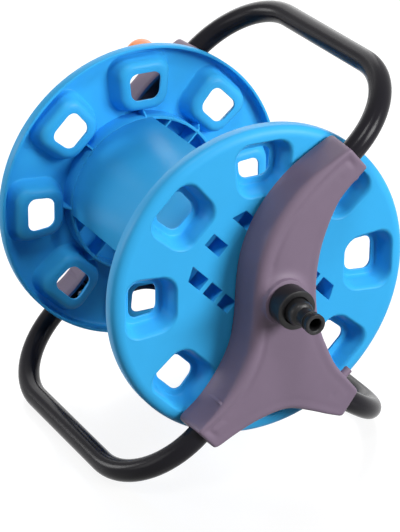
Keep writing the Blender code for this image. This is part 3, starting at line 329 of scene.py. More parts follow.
def pocket_rows(angle):
    """A pocket from the outer face, over its lip, down its wall, through its hole and back up its far side."""
    depth = pocket_depth
    top_x = face_x - depth - floor_wall
    rows = [pocket_ring(grown(opening, 0.0010), angle, face_x)]
    lip = curve_between((-0.18, 0.0), (0.12, 0.0), (0.42, 0.0035), 6)
    foot = curve_between((0.80, 0.0130), (1.0, depth), (1.20, depth), 5)
    for t, drop in lip + foot:
        rows.append(pocket_ring(between(opening, floor_size, t), angle, face_x - drop))
    rows.append(pocket_ring(grown(hole_size, 0.0016), angle, face_x - depth))
    rows.append(pocket_ring(grown(hole_size, 0.0006), angle, face_x - depth))
    rows.append(pocket_ring(grown(hole_size, 0.0001), angle, face_x - depth - 0.0003))
    rows.append(pocket_ring(hole_size, angle, face_x - depth - 0.0008))
    rows.append(pocket_ring(hole_size, angle, top_x + 0.0006))
    rows.append(pocket_ring(grown(hole_size, 0.0002), angle, top_x + 0.0001))
    rows.append(pocket_ring(grown(hole_size, 0.0008), angle, top_x))
    crown = (floor_size[0] + skin, floor_size[1] + skin, 0.0125)
    base = (opening[0] + skin, opening[1] + skin, 0.0155)
    for t, rise in curve_between((-1.0, 0.0), (0.0, 0.0002), (0.33, 0.0052), 7):
        rows.append(pocket_ring(between(crown, base, t), angle, top_x + rise))
    height = back_x - top_x
    for t, rise in curve_between((0.80, height - 0.0026), (1.0, height), (1.12, height), 5):
        rows.append(pocket_ring(between(crown, base, t), angle, top_x + rise))
    rows.append(pocket_ring(grown(between(crown, base, 1.12), 0.0003), angle, back_x))
    return rows


window_row = 0.0298
window_height = 0.0115
window_start = 0.0085
window_width = 0.013
window_bar = 0.0045
end_window = 0.0492


def window_outlines():
    """The windows in a hub: two rows of three on each side of its middle, and one at each end."""
    low, high = window_row - window_height / 2, window_row + window_height / 2
    starts = [window_start + (window_width + window_bar) * i for i in range(3)]
    reach = drum_bore_r - 0.0003
    outlines = []
    for side_u in (-1, 1):
        for side_n in (-1, 1):
            corners = [[(s, low), (s + window_width, low), (s + window_width, high), (s, high)] for s in starts[:2]]
            corners.append([(starts[2], low), (sqrt(reach ** 2 - low ** 2), low),
                            (sqrt(reach ** 2 - high ** 2), high), (starts[2], high)])
            for quad in corners:
                placed = [(side_u * u, side_n * n) for u, n in quad]
                outlines.append(placed if side_u * side_n > 0 else placed[::-1])
        half = window_height / 2
        end_reach = reach - 0.0003
        end = [(end_window, -half), (end_reach, -half), (end_reach, half), (end_window, half)]
        outlines.append([(side_u * u, side_u * n) for u, n in end])
    return [eased(outline, 0.0006, 2) for outline in outlines]


def main_shell(bm, hub_rows):
    """The flange plate with its rim, pockets, windows and hub, as one closed skin."""
    sides = 216
    shoulder, shoulder_depth, rim_wall, rim_x = 0.0085, 0.006, 0.0024, face_x - 0.0136
    flat_r, rim_bore_r = flange_r - shoulder, flange_r - rim_wall
    rim = [(face_x, flat_r - 0.0001), (face_x, flat_r)]
    rim += [(face_x - shoulder_depth * (1 - cos(a)), flat_r + shoulder * sin(a))
            for a in (radians(7.5 * i) for i in range(1, 13))]
    rim += [(rim_x + 0.0005, flange_r), (rim_x + 0.0001, flange_r - 0.0002), (rim_x, flange_r - 0.0006),
            (rim_x, rim_bore_r + 0.0005), (rim_x + 0.0002, rim_bore_r + 0.0001), (rim_x + 0.0006, rim_bore_r),
            (face_x - shoulder_depth - 0.0010, rim_bore_r)]
    inner_curve = curve_between((0.0, 0.0), (0.0, 1.0), (1.0, 1.0), 6)
    rim += [(face_x - shoulder_depth - 0.0010 + (0.0010 + shoulder_depth - web) * on, rim_bore_r - 0.0034 * in_)
            for in_, on in inner_curve[1:]]
    rim_rings = wall(bm, turned(rim, sides))
    front_loops, back_loops = [rim_rings[0]], [rim_rings[-1]]
    for i in range(8):
        rings = wall(bm, pocket_rows(2 * pi * i / 8))
        front_loops.append(rings[0])
        back_loops.append(rings[-1])
    for outline in window_outlines():
        rings = wall(bm, stepped(outline, (0.0008, face_x), (0.0004, face_x), (0.0001, face_x - 0.0001),
                                 (0, face_x - 0.0004), (0, back_x)))
        front_loops.append(rings[0])
        back_loops.append(rings[-1])
    rings = wall(bm, hub_rows)
    front_loops.append(rings[0])
    back_loops.append(rings[-1])
    cover(bm, *front_loops)
    cover(bm, *back_loops)


def drum_panel(bm):
    """Half of the drum with a lip along each edge, and the two tongues that enter the other half's ring."""
    half_width, lip_end = 0.053, 0.008
    half_turn = asin(half_width / drum_r)
    inner_turn = asin((half_width - drum_wall) / drum_bore_r)
    lip_u = lip_end - drum_r * cos(half_turn)
    steps = 40
    outer = [pi - half_turn + 2 * half_turn * i / steps for i in range(steps + 1)]
    inner = [pi + inner_turn - 2 * inner_turn * i / steps for i in range(steps + 1)]
    outline = [(drum_r * cos(a), drum_r * sin(a)) for a in outer]
    outline += [(lip_u - 0.0008, -half_width), (lip_u, -half_width + 0.0008), (lip_u, -half_width + drum_wall)]
    outline += [(drum_bore_r * cos(a), drum_bore_r * sin(a)) for a in inner]
    outline += [(lip_u, half_width - drum_wall), (lip_u, half_width - 0.0008), (lip_u - 0.0008, half_width)]
    far = -ring_x + 0.0003
    capped(bm, stepped(outline, (0, ring_x + 0.0012), (0, far + 0.0005), (-0.00015, far + 0.00015), (-0.0005, far)))
    tongue_r = drum_bore_r - 0.0003
    for side in (-1, 1):
        near, wide = side * 0.009, side * 0.021
        root = [(-sqrt((drum_bore_r + 0.0013) ** 2 - n * n), n) for n in (near, wide)]
        inside = [(-sqrt((tongue_r - 0.0023) ** 2 - n * n), n) for n in (wide, near)]
        blade = [(-sqrt(tongue_r ** 2 - n * n), n) for n in (near, wide)]
        foot, blade = eased(root + inside, 0.0006), eased(blade + inside, 0.0006)
        capped(bm, stepped(foot, (0, -ring_x + 0.006), (0, -ring_x + 0.0015)) + stepped(
            blade, (0, -ring_x + 0.0006), (0, -ring_x - 0.0086), (0.0004 * -side, -ring_x - 0.009)))


def piece_tree(name, inputs):
    """A Geometry Nodes tree that makes a piece from named inputs and a finish."""
    tree, given = new_tree(name, "GeometryNodeTree", {**inputs, "Finish": "Material"}, {"Piece": "Geometry"})
    tree.is_modifier = True
    return tree, given


def ends_in(tree, geometry, given):
    """Ends a tree: what it grew is made real and takes its finish."""
    real = joined(tree, "GeometryNodeRealizeInstances", {"Geometry": geometry})
    dressed = joined(tree, "GeometryNodeSetMaterial", {"Geometry": real, "Material": given["Finish"]})
    joined(tree, "NodeGroupOutput", {"Piece": dressed})


# The ribs behind the hub's windows stand on edge along straight lines, and stiffen the thin plate.
rib_tree, rib_in = piece_tree("ribs on lines", {
    "Lines": "Geometry", "Thickness": "Float", "Depth": "Float", "Soft edge": "Float"})
rib_lines = joined(rib_tree, "GeometryNodeMeshToCurve", {"Mesh": rib_in["Lines"]})
rib_upright = joined(rib_tree, "GeometryNodeSetCurveNormal", {"Curve": rib_lines}, mode="Z_UP")
rib_section = joined(rib_tree, "GeometryNodeCurvePrimitiveQuadrilateral",
                     {"Width": rib_in["Thickness"], "Height": rib_in["Depth"]})
rib_soft = joined(rib_tree, "GeometryNodeFilletCurve",
                  {"Curve": rib_section, "Radius": rib_in["Soft edge"], "Count": 2}, mode="POLY")
rib_walls = joined(rib_tree, "GeometryNodeCurveToMesh",
                   {"Curve": rib_upright, "Profile Curve": rib_soft, "Fill Caps": True})
ends_in(rib_tree, rib_walls, rib_in)

# A gusset and its copies round the axle, at the angles of the pockets.
gusset_tree, gusset_in = piece_tree("copies round the axle", {"Gusset": "Geometry", "Count": "Int"})
gusset_points = joined(gusset_tree, "GeometryNodePoints", {"Count": gusset_in["Count"]})
gusset_angle = reckon(gusset_tree, "MULTIPLY", reckon(gusset_tree, "DIVIDE", 2 * pi, gusset_in["Count"]),
                      joined(gusset_tree, "GeometryNodeInputIndex"))
gusset_turn = joined(gusset_tree, "ShaderNodeCombineXYZ", {"X": gusset_angle})
gusset_copies = joined(gusset_tree, "GeometryNodeInstanceOnPoints",
                       {"Points": gusset_points, "Instance": gusset_in["Gusset"], "Rotation": gusset_turn})
ends_in(gusset_tree, gusset_copies, gusset_in)


def grown_by_nodes(bm, tree, values):
    """Runs a tree on a rough mesh and returns the plain mesh that it makes."""
    holder = in_scene("rough", mesh_of("rough", bm))
    step = holder.modifiers.new("made", "NODES")
    step.node_group = tree
    for socket in tree.interface.items_tree:
        if socket.in_out == "INPUT" and socket.name in values:
            step[socket.identifier] = values[socket.name]
    made = bpy.data.meshes.new_from_object(holder.evaluated_get(bpy.context.evaluated_depsgraph_get()))
    holder.modifiers.remove(step)
    bpy.data.objects.remove(holder)
    return made


def hub_lines():
    """The ends of each rib's line inside the ring, as (u, n) pairs."""
    end_r = drum_bore_r + drum_wall * 0.4
    half = rib / 2
    low, high = window_row - window_height / 2 - half, window_row + window_height / 2 + half
    bars = [window_start - half, window_start + window_width + window_bar / 2]
    bars.append(bars[-1] + window_width + window_bar)
    lines = []
    for side_n in (-1, 1):
        for n in (low, high):
            end = sqrt(end_r ** 2 - n ** 2)
            lines.append(((-end, side_n * n), (end, side_n * n)))
        for u in bars:
            lines += [((s * u, side_n * low), (s * u, side_n * high)) for s in (-1, 1)]
        for u in (-bars[1] - window_bar, 0.0, bars[1] + window_bar):
            lines.append(((u, side_n * high), (u, side_n * sqrt(end_r ** 2 - u ** 2))))
    for side_u in (-1, 1):
        near, wall_n = side_u * (end_window - half), window_height / 2 + half
        for n in (-wall_n, wall_n):
            lines.append(((near, n), (side_u * sqrt(end_r ** 2 - n ** 2), n)))
        lines.append(((near, -wall_n), (near, wall_n)))
    return lines


rib_depth = back_x - ring_x + 0.0006
lines_bm = bmesh.new()
for start, end in hub_lines():
    lines_bm.edges.new([lines_bm.verts.new((*p, 0.0)) for p in (start, end)])
hub_ribs = grown_by_nodes(lines_bm, rib_tree, {
    "Thickness": rib, "Depth": rib_depth, "Soft edge": 0.0003, "Finish": sky_blue})
# The lines lie flat when the ribs are made, and are then stood up across the axle.
hub_ribs.transform(Matrix(((0, 0, 1, ring_x + rib_depth / 2), (1, 0, 0, 0), (0, 1, 0, 0), (0, 0, 0, 1))))

gusset_bm = bmesh.new()
gusset_root, gusset_top = drum_r - 0.0006, back_x + 0.0006
gusset_side = [(gusset_top, gusset_root), (gusset_top, drum_r + 0.0032), (back_x - 0.0085, drum_r + 0.0064),
               (ring_x + 0.0008, drum_r + 0.0014), (ring_x + 0.0004, drum_r + 0.0008), (ring_x + 0.0004, gusset_root)]
gusset_soft = 0.0003
capped(gusset_bm, [[(x, r, across) for x, r in outset(gusset_side, pull)] for across, pull in (
    (-rib / 2, -gusset_soft), (-rib / 2 + gusset_soft, 0.0), (rib / 2 - gusset_soft, 0.0), (rib / 2, -gusset_soft))])
bmesh.ops.recalc_face_normals(gusset_bm, faces=gusset_bm.faces)
gussets = grown_by_nodes(gusset_bm, gusset_tree, {"Count": 8, "Finish": sky_blue})


def reel_half(name, hub_rows, turn):
    bm = bmesh.new()
    main_shell(bm, hub_rows)
    lathe(bm, [(back_x + 0.0006, drum_r), (ring_x, drum_r), (ring_x, drum_bore_r), (back_x + 0.0006, drum_bore_r)],
          sides=144, ease=0.0005)
    for u in (-elbow_screw_y, elbow_screw_y):
        lathe(bm, [(back_x + 0.0006, 0.0045), (hub_x, 0.0045), (hub_x, 0.0022), (back_x - 0.0050, 0.0022),
                   (back_x - 0.0050, 0.0002), (back_x + 0.0006, 0.0002)], sides=24, centre=(u, 0.0), ease=0.0003)
    drum_panel(bm)
    bm.from_mesh(hub_ribs)
    bm.from_mesh(gussets)
    place = Matrix.Translation(axle) @ Matrix.Rotation(reel_rest, 4, "X") @ Matrix.Rotation(turn, 4, "Z")
    finished(name + "_moulding", bm, sky_blue, "reel", "flange_blue", name, place=place)


def hub_outside():
    """The hub's rows from its inner end back to the plate."""
    return [(hub_x, 0.0172), (hub_x + 0.0002, 0.0178), (hub_x + 0.0008, 0.018), (back_x - 0.0016, 0.018),
            (back_x - 0.0006, 0.0184), (back_x, 0.0194), (back_x, 0.0200)]


bore_r = journal_r + 0.00035
hub_profile = [(face_x, bore_r + 0.0014), (face_x, bore_r + 0.0008), (face_x - 0.0002, bore_r + 0.0002),
               (face_x - 0.0008, bore_r), (hub_x + 0.0008, bore_r), (hub_x + 0.0002, bore_r + 0.0002),
               (hub_x, bore_r + 0.0008)]
reel_half("front_reel_half", turned(hub_profile + hub_outside(), 48), 0.0)

socket_half = 0.0077 + 0.0003
socket_turn = pi - (radians(61) - reel_rest)


def square_socket(half):
    """A square with eased corners, seen along the axle, in the rear half's own frame."""
    ring = []
    for i in range(48):
        a = 2 * pi * i / 48
        near = a - socket_turn
        r = min(half / max(abs(cos(near)), abs(sin(near))), half * 1.36)
        ring.append((r * cos(a), r * sin(a)))
    return ring


socket_end_x = face_x - 0.012
crank_screw_way = 0.0028
socket_rows = [at_x(circle(0.0134, 48), face_x)]
socket_rows += [at_x(square_socket(socket_half + wider), x) for wider, x in (
    (0.0008, face_x), (0.0002, face_x - 0.0002), (0.0, face_x - 0.0008), (0.0, socket_end_x))]
socket_rows += turned([(socket_end_x, crank_screw_way), (hub_x, crank_screw_way)], 48)
reel_half("rear_reel_half", socket_rows + turned(hub_outside(), 48), pi)

# Water elbow
# A black moulded elbow runs in the front bracket's bush, is screwed to the reel's hub, and turns the water out
# through the open side of the drum. A nut on its outlet clamps the barbed tail that takes a hose.
fitting_black = plastic("black glass-filled nylon", (0.012, 0.012, 0.013), (0.05, 0.05, 0.055), 60.0, 0.10,
                        2600.0, 0.16, 0.36, 0.25)
elbow_flange_x = hub_x - 0.0003
elbow_body_x = elbow_flange_x - 0.0041
elbow_end_x = elbow_body_x - 0.026
outlet_x = (elbow_body_x + elbow_end_x) / 2
bush_x = face_x + 0.0026 + 0.002
bush_end_x = bush_x + 0.0225
on_reel = Matrix.Translation(axle) @ Matrix.Rotation(reel_rest, 4, "X")
seat_end_x = hub_x + 0.001
water_r = 0.0055
stem_seat_r = 0.0089
ear_r = 0.0052
elbow_flange_r = 0.014
outlet_r = 0.0100
outlet_start, outlet_end = 0.006, 0.026


def up_outlet(profile, sides=48, ease=0.0004):
    """Turned rings about the outlet, from a closed loop of (distance from the axle, radius) pairs."""
    return [[(outlet_x + a, b, z) for a, b in circle(radius, sides)] for z, radius in eased(profile, ease)]


elbow = bmesh.new()
lathe(elbow, [(bush_end_x, stem_seat_r), (bush_end_x, journal_r), (elbow_end_x, journal_r), (elbow_end_x, 0.0020),
              (elbow_end_x + 0.0022, 0.0020), (elbow_end_x + 0.0022, water_r), (seat_end_x, water_r),
              (seat_end_x, stem_seat_r)], ease=0.0008)
ear_lean = acos((elbow_flange_r - ear_r) / elbow_screw_y)
ears = []
for side in (0, pi):
    for i in range(13):
        a = side + ear_lean * (2 * i / 12 - 1)
        ears.append((elbow_screw_y * cos(side) + ear_r * cos(a), ear_r * sin(a)))
    for i in range(1, 12):
        a = side + ear_lean + (pi - 2 * ear_lean) * i / 12
        ears.append((elbow_flange_r * cos(a), elbow_flange_r * sin(a)))
capped(elbow, stepped(ears, (-0.0006, elbow_body_x), (-0.0001, elbow_body_x + 0.0002), (0, elbow_body_x + 0.0007),
                      (0, elbow_flange_x - 0.0003), (-0.0003, elbow_flange_x)))
outlet = [(outlet_start, water_r), (outlet_start, outlet_r), (outlet_end, outlet_r), (outlet_end, water_r)]
wall(elbow, up_outlet(outlet, ease=0.0006), closed=True)
finished("turning_elbow", elbow, fitting_black, "reel", "fitting_black", "water_elbow", place=on_reel)

nut_start, nut_end = 0.0142, 0.0308
nut_r = 0.0124
nut = bmesh.new()
nut_rows = up_outlet([(nut_start, 0.0103), (nut_start, nut_r), (nut_end, nut_r), (nut_end, 0.0074),
                      (nut_end - 0.0022, 0.0074), (nut_end - 0.0022, 0.0103)], ease=0.0008)
wall(nut, nut_rows, closed=True)
# Grip ribs stand round the nut.
for i in range(24):
    a = 2 * pi * i / 24
    out = Vector((cos(a), sin(a)))
    across = Vector((-out.y, out.x))
    corners = [out * 0.0121 + across * w for w in (-0.0007, 0.0007)]
    corners += [out * 0.0130 + across * w for w in (0.0004, -0.0004)]
    capped(nut, [[(outlet_x + c.x, c.y, z) for c in corners] for z in (nut_start + 0.0015, nut_end - 0.0025)])
finished("ribbed_nut", nut, fitting_black, "reel", "fitting_black", "outlet_nut", place=on_reel)

barb = bmesh.new()
barb_profile = [(0.0263, 0.0042), (0.0263, 0.0100), (0.0283, 0.0100), (0.0283, 0.0068), (0.0318, 0.0068)]
pitch = (0.0483 - 0.0318) / 3
for i in range(3):
    barb_profile += [(0.0320 + pitch * i, 0.0068), (0.0316 + pitch * (i + 1), 0.0056)]
barb_profile.append((barb_profile[-1][0], 0.0042))
wall(barb, up_outlet(barb_profile, ease=0.00025), closed=True)
finished("hose_barb", barb, fitting_black, "reel", "fitting_black", "outlet_barb", place=on_reel)

# Brackets
# Two hollow three-armed mouldings in grey-mauve plastic, mirror images of each other. Each arm takes a tube's
# leg, a sleeve in the middle takes the bush, and the front one has a boss and a spigot for the water inlet.
mauve = plastic("grey mauve polypropylene", (0.192, 0.142, 0.203), (0.33, 0.26, 0.34), 26.0, 0.035,
                1500.0, 0.14, 0.52, 0.30)
bracket_back_x = face_x + 0.0026
bracket_face_x = bracket_back_x + 0.0305
leg_x = 0.1305
leg_end = 0.100
cap_reach = 0.067
cap_half = 0.0135
tube_hole_r = 0.0098
tube_screw_reach = 0.090
sleeve_bore_r = 0.01355
sleeve_r = 0.01655
foot_z = -0.1495
# Each tube's bar as seen along the axle, and how far its legs lean from level.
arms = (((0.1215, 0.1474), radians(39)), ((-0.1215, foot_z), radians(219)), ((0.1165, foot_z), radians(-37.5)))
left_side = ((0.0437, 0.1068), (0.0262, 0.0968), (0.0102, 0.0839), (-0.0048, 0.0668), (-0.0151, 0.0488),
             (-0.0218, 0.0298), (-0.0251, 0.0073), (-0.0271, -0.0187), (-0.0318, -0.0417), (-0.0433, -0.0637),
             (-0.0593, -0.0827))
lower_side = ((-0.0383, -0.1082), (-0.0163, -0.1017), (0.0052, -0.0997), (0.0252, -0.1067), (0.0397, -0.1132))
right_side = ((0.0597, -0.0822), (0.0502, -0.0687), (0.0432, -0.0527), (0.0372, -0.0357), (0.0335, -0.0147),
              (0.0332, 0.0093), (0.0372, 0.0343), (0.0467, 0.0593), (0.0567, 0.0758))


def on_leg(arm, reach, across=0.0):
    """The point on a leg's line at a distance from its bar, towards the reel."""
    bar, lean = arm
    out = Vector((cos(lean), sin(lean)))
    return Vector(bar) - out * reach + Vector((-out.y, out.x)) * across


def flowing(points, steps):
    """A smooth curve through points, from the first to the last."""
    row = [Vector(p) for p in points]
    row = [2 * row[0] - row[1], *row, 2 * row[-1] - row[-2]]
    smooth = []
    for p0, p1, p2, p3 in zip(row, row[1:], row[2:], row[3:]):
        for i in range(steps):
            t = i / steps
            smooth.append(0.5 * (2 * p1 + (p2 - p0) * t + (2 * p0 - 5 * p1 + 4 * p2 - p3) * t * t
                                 + (3 * p1 - p0 - 3 * p2 + p3) * t ** 3))
    return smooth + [row[-2]]


def steps_to_go(row, reach):
    """How many steps along a row of points go at least this far."""
    length, steps = 0.0, 0
    while length < reach:
        length += (row[steps + 1] - row[steps]).length
        steps += 1
    return steps


# Three sides run from arm to arm, and a flat cap with soft corners closes each arm's end.
side_curves = []
for i, side_points in enumerate((left_side, lower_side, right_side)):
    start = on_leg(arms[i], cap_reach, cap_half)
    end = on_leg(arms[(i + 1) % 3], cap_reach, -cap_half)
    side_curves.append(flowing((start, *side_points, end), 7))
cap_soft = 0.004
caps = []
for i, curve in enumerate(side_curves):
    following = side_curves[(i + 1) % 3]
    corner_in, corner_out = curve[-1], following[0]
    side_curves[i] = curve[:-steps_to_go(curve[::-1], cap_soft)]
    skipped = steps_to_go(following, cap_soft)
    across_cap = (corner_out - corner_in).normalized()
    flat_start, flat_end = corner_in + across_cap * cap_soft, corner_out - across_cap * cap_soft
    cap_points = [soft_point(side_curves[i][-1], corner_in, flat_start, k / 6) for k in range(1, 6)]
    cap_points += [flat_start.lerp(flat_end, k / 8) for k in range(9)]
    cap_points += [soft_point(flat_end, corner_out, following[skipped], k / 6) for k in range(1, 6)]
    caps.append((skipped, cap_points))
bracket_edge = []
for i, curve in enumerate(side_curves):
    bracket_edge += [tuple(p) for p in curve[caps[i - 1][0]:] + caps[i][1]]
# The outline runs clockwise when seen from the inlet's end, so it is turned round for the outset.
area = sum(a[0] * b[1] - b[0] * a[1] for a, b in zip(bracket_edge, bracket_edge[1:] + bracket_edge[:1]))
if area < 0:
    bracket_edge.reverse()
cap_lines = [(on_leg(arm, cap_reach, -cap_half), on_leg(arm, cap_reach, cap_half)) for arm in arms]
edge_top = outset(bracket_edge, -0.0015)


def distance_to(points, line_starts, line_ends):
    """How far each point is from the nearest of some line pieces."""
    p = np.array(points, float)[:, None, :]
    a = np.array(line_starts, float)[None, :, :]
    b = np.array(line_ends, float)[None, :, :]
    along = np.clip(((p - a) * (b - a)).sum(2) / ((b - a) ** 2).sum(2), 0.0, 1.0)
    return np.sqrt((((a + (b - a) * along[:, :, None]) - p) ** 2).sum(2)).min(1)


def inside(points, ring):
    """Which points lie inside a closed ring."""
    p = np.array(points, float)[:, None, :]
    a = np.array(ring, float)[None, :, :]
    b = np.roll(a, -1, axis=1)
    level = (a[:, :, 1] > p[:, :, 1]) != (b[:, :, 1] > p[:, :, 1])
    rise = np.where(level, b[:, :, 1] - a[:, :, 1], 1.0)
    crossing = (b[:, :, 0] - a[:, :, 0]) * (p[:, :, 1] - a[:, :, 1]) / rise + a[:, :, 0]
    return (level & (p[:, :, 0] < crossing)).sum(1) % 2 == 1


def eases_in(t):
    t = np.clip(t, 0.0, 1.0)
    return t * t * (3 - 2 * t)


def face_drop(points, boss_foot, boss_r):
    """How far the face lies under its full height: a round along its sides that is broad at the middle of the left
    side and crisp towards the arms' ends, a shallow valley just inside it that shows on the left, a hollow rise to
    the boss, and a faint sink mark over each tube's screw."""
    from_edge = distance_to(points, edge_top, edge_top[1:] + edge_top[:1])
    from_cap = distance_to(points, [c[0] for c in cap_lines], [c[1] for c in cap_lines])
    from_left = distance_to(points, side_curves[0][:-1], side_curves[0][1:])
    near_left = eases_in(1 - (from_left - from_edge - 0.0018) / 0.012)
    rounding = 0.0022 + (0.0022 + 0.0026 * near_left) * eases_in(from_cap / 0.060)
    shy = np.clip(rounding - from_edge, 0.0, None)
    drop = rounding - np.sqrt(np.clip(rounding ** 2 - shy ** 2, 0.0, None))
    just_inside = np.exp(-((from_edge - rounding - 0.0044) / 0.0025) ** 2)
    valley = (0.0002 + 0.0010 * near_left) * just_inside * eases_in(from_cap / 0.010)
    flat = np.array([(p[0], p[1]) for p in points], float)
    near_hub = np.clip(1 - (np.sqrt((flat ** 2).sum(1)) - boss_r) / 0.0125, 0.0, 1.0)
    rise = boss_foot * near_hub ** 4 * eases_in((from_edge - 0.0005) / 0.006)
    pads = [on_leg(arm, tube_screw_reach) for arm in arms]
    from_pad = distance_to(points, pads, [p + Vector((0.0001, 0.0)) for p in pads])
    sink = 0.00025 * np.exp(-(from_pad / 0.0022) ** 2)
    return drop + valley * (1 - near_hub) - rise + sink


def square_to(outline, centre, lean, x):
    """An outline set square to a direction in the bracket's plane."""
    across = Vector((-sin(lean), cos(lean)))
    return [(x + a, centre.x + across.x * b, centre.y + across.y * b) for a, b in outline]


def bracket(name, side, boss_rows, boss_foot, boss_r):
    """The whole moulding: outer wall, face, boss and bore, sleeve, inner face and inner wall, then the holes."""
    bm = bmesh.new()
    boss_sides = 72
    boss_ring = circle(boss_r, boss_sides)
    drops = face_drop(edge_top, boss_foot, boss_r)
    top_ring = [(bracket_face_x - d, y, z) for d, (y, z) in zip(drops, edge_top)]
    rows = [at_x(outset(bracket_edge, -0.0002), bracket_back_x), at_x(bracket_edge, bracket_back_x + 0.0003)]
    for k in (0.30, 0.60, 0.90):
        rows.append([(bracket_back_x + (x - bracket_back_x) * k, *e) for (x, _, _), e in
                     zip(top_ring, outset(bracket_edge, -0.0015 * k))])
    rows.append(top_ring)
    outer = wall(bm, rows)

    spots = list(edge_top) + boss_ring
    count, boss_count = len(edge_top), len(boss_ring)
    fixed = [(i, (i + 1) % count) for i in range(count)]
    fixed += [(count + i, count + (i + 1) % boss_count) for i in range(boss_count)]
    starts, ends = edge_top, edge_top[1:] + edge_top[:1]
    for inset in (0.00025, 0.0007, 0.0013, 0.0021, 0.0031, 0.0042, 0.0055, 0.0069):
        row = outset(edge_top, -inset)
        far = distance_to(row, starts, ends)
        spots += [p for p, d in zip(row, far) if d > inset * 0.97 and sqrt(p[0] ** 2 + p[1] ** 2) > boss_r + 0.0006]
    for out in (0.0005, 0.0011, 0.0019, 0.0029, 0.0041, 0.0055, 0.0071, 0.0089):
        row = circle(boss_r + out, boss_sides)
        far = distance_to(row, starts, ends)
        spots += [p for p, d in zip(row, far) if d > 0.0076]
    step = 0.0017
    lattice = []
    for j in range(-80, 80):
        for i in range(-60, 70):
            y, z = (i + 0.5 * (j % 2)) * step, j * step * 0.866
            if y * y + z * z > (boss_r + 0.0098) ** 2:
                lattice.append((y, z))
    far = distance_to(lattice, starts, ends)
    lattice = [p for p, d, within in zip(lattice, far, inside(lattice, edge_top)) if within and d > 0.0078]
    spots += lattice
    found, _, faces, sources, _, _ = delaunay_2d_cdt([Vector(p) for p in spots], fixed, [], 0, 1e-7)
    found_points = [(p.x, p.y) for p in found]
    heights = face_drop(found_points, boss_foot, boss_r)
    made = {}
    boss_verts = [None] * boss_count
    for i, (p, drop, came) in enumerate(zip(found_points, heights, sources)):
        first = came[0] if came else -1
        if 0 <= first < count:
            made[i] = outer[-1][first]
        else:
            made[i] = bm.verts.new((bracket_face_x - drop, *p))
            if count <= first < count + boss_count:
                boss_verts[first - count] = made[i]
    middles = [tuple(sum(found_points[i][k] for i in face) / 3 for k in (0, 1)) for face in faces]
    for face, middle, within in zip(faces, middles, inside(middles, edge_top)):
        if within and sqrt(middle[0] ** 2 + middle[1] ** 2) > boss_r * 0.998:
            bm.faces.new([made[i] for i in face])

    rings = wall(bm, turned(boss_rows, boss_sides))
    for i in range(boss_count):
        j = (i + 1) % boss_count
        bm.faces.new((boss_verts[i], boss_verts[j], rings[0][j], rings[0][i]))

    inner_x = bracket_face_x - 0.0030
    inner = wall(bm, stepped(
        bracket_edge, (-0.0026, bracket_back_x), (-0.0028, bracket_back_x + 0.0003),
        (-0.0043, bracket_face_x - 0.0085), (-0.0056, inner_x - 0.0012), (-0.0070, inner_x)))
    for i in range(count):
        j = (i + 1) % count
        bm.faces.new((outer[0][i], outer[0][j], inner[0][j], inner[0][i]))
    cover(bm, inner[-1], rings[-1])

    made_sound(bm)
    cutter = bmesh.new()
    for arm in arms:
        capped(cutter, [square_to(circle(tube_hole_r, 48), on_leg(arm, reach), arm[1], leg_x)
                        for reach in (cap_reach - 0.006, cap_reach + 0.006)])
    bmesh.ops.recalc_face_normals(cutter, faces=cutter.faces)
    whole, holes = in_scene("whole", mesh_of(name, bm)), in_scene("holes", mesh_of("tube holes", cutter))
    cut = whole.modifiers.new("holes", "BOOLEAN")
    cut.object, cut.operation, cut.solver, cut.use_self = holes, "DIFFERENCE", "EXACT", True
    pierced = bpy.data.meshes.new_from_object(whole.evaluated_get(bpy.context.evaluated_depsgraph_get()))
    for item in (whole, holes):
        bpy.data.objects.remove(item)

    body = bmesh.new()
    body.from_mesh(pierced)
    seat = circle(tube_hole_r, 40)
    block = []
    for a, b in seat:
        reach = min(0.0130 / max(abs(b) / tube_hole_r, 1e-6), 0.0114 / max(abs(a) / tube_hole_r, 1e-6))
        block.append((a / tube_hole_r * reach, b / tube_hole_r * reach))
    for arm in arms:
        post = [(leg_x + 0.0098, 0.0022), (leg_x + 0.0098, 0.0052), (inner_x + 0.0006, 0.0052),
                (inner_x + 0.0006, 0.0022)]
        lathe(body, post, sides=32, centre=tuple(on_leg(arm, tube_screw_reach)), ease=0.0003)
        # A rest with a round seat in it steadies the end of the leg.
        rest_rows = ((block, 0.0963), (block, 0.0987), (seat, 0.0987), (seat, 0.0963))
        wall(body, [square_to(outline, on_leg(arm, reach), arm[1], leg_x) for outline, reach in rest_rows],
             closed=True)
    for (y, z), lean in (((0.0604, 0.0938), radians(-44)), ((0.0549, -0.0882), radians(38))):
        out = Vector((cos(lean), sin(lean)))
        peg_rows = ((0.0, 0.0035), (0.0122, 0.0035), (0.0127, 0.0033), (0.0130, 0.0028))
        capped(body, [square_to(circle(radius, 32), Vector((y, z)) + out * along, lean, bracket_face_x - 0.0085)
                      for along, radius in peg_rows])
    place = Matrix.Translation(axle) @ Matrix.Diagonal((side, 1, 1, 1))
    finished(name + "_moulding", body, mauve, "frame", "bracket_mauve", name, place=place, crease=40)


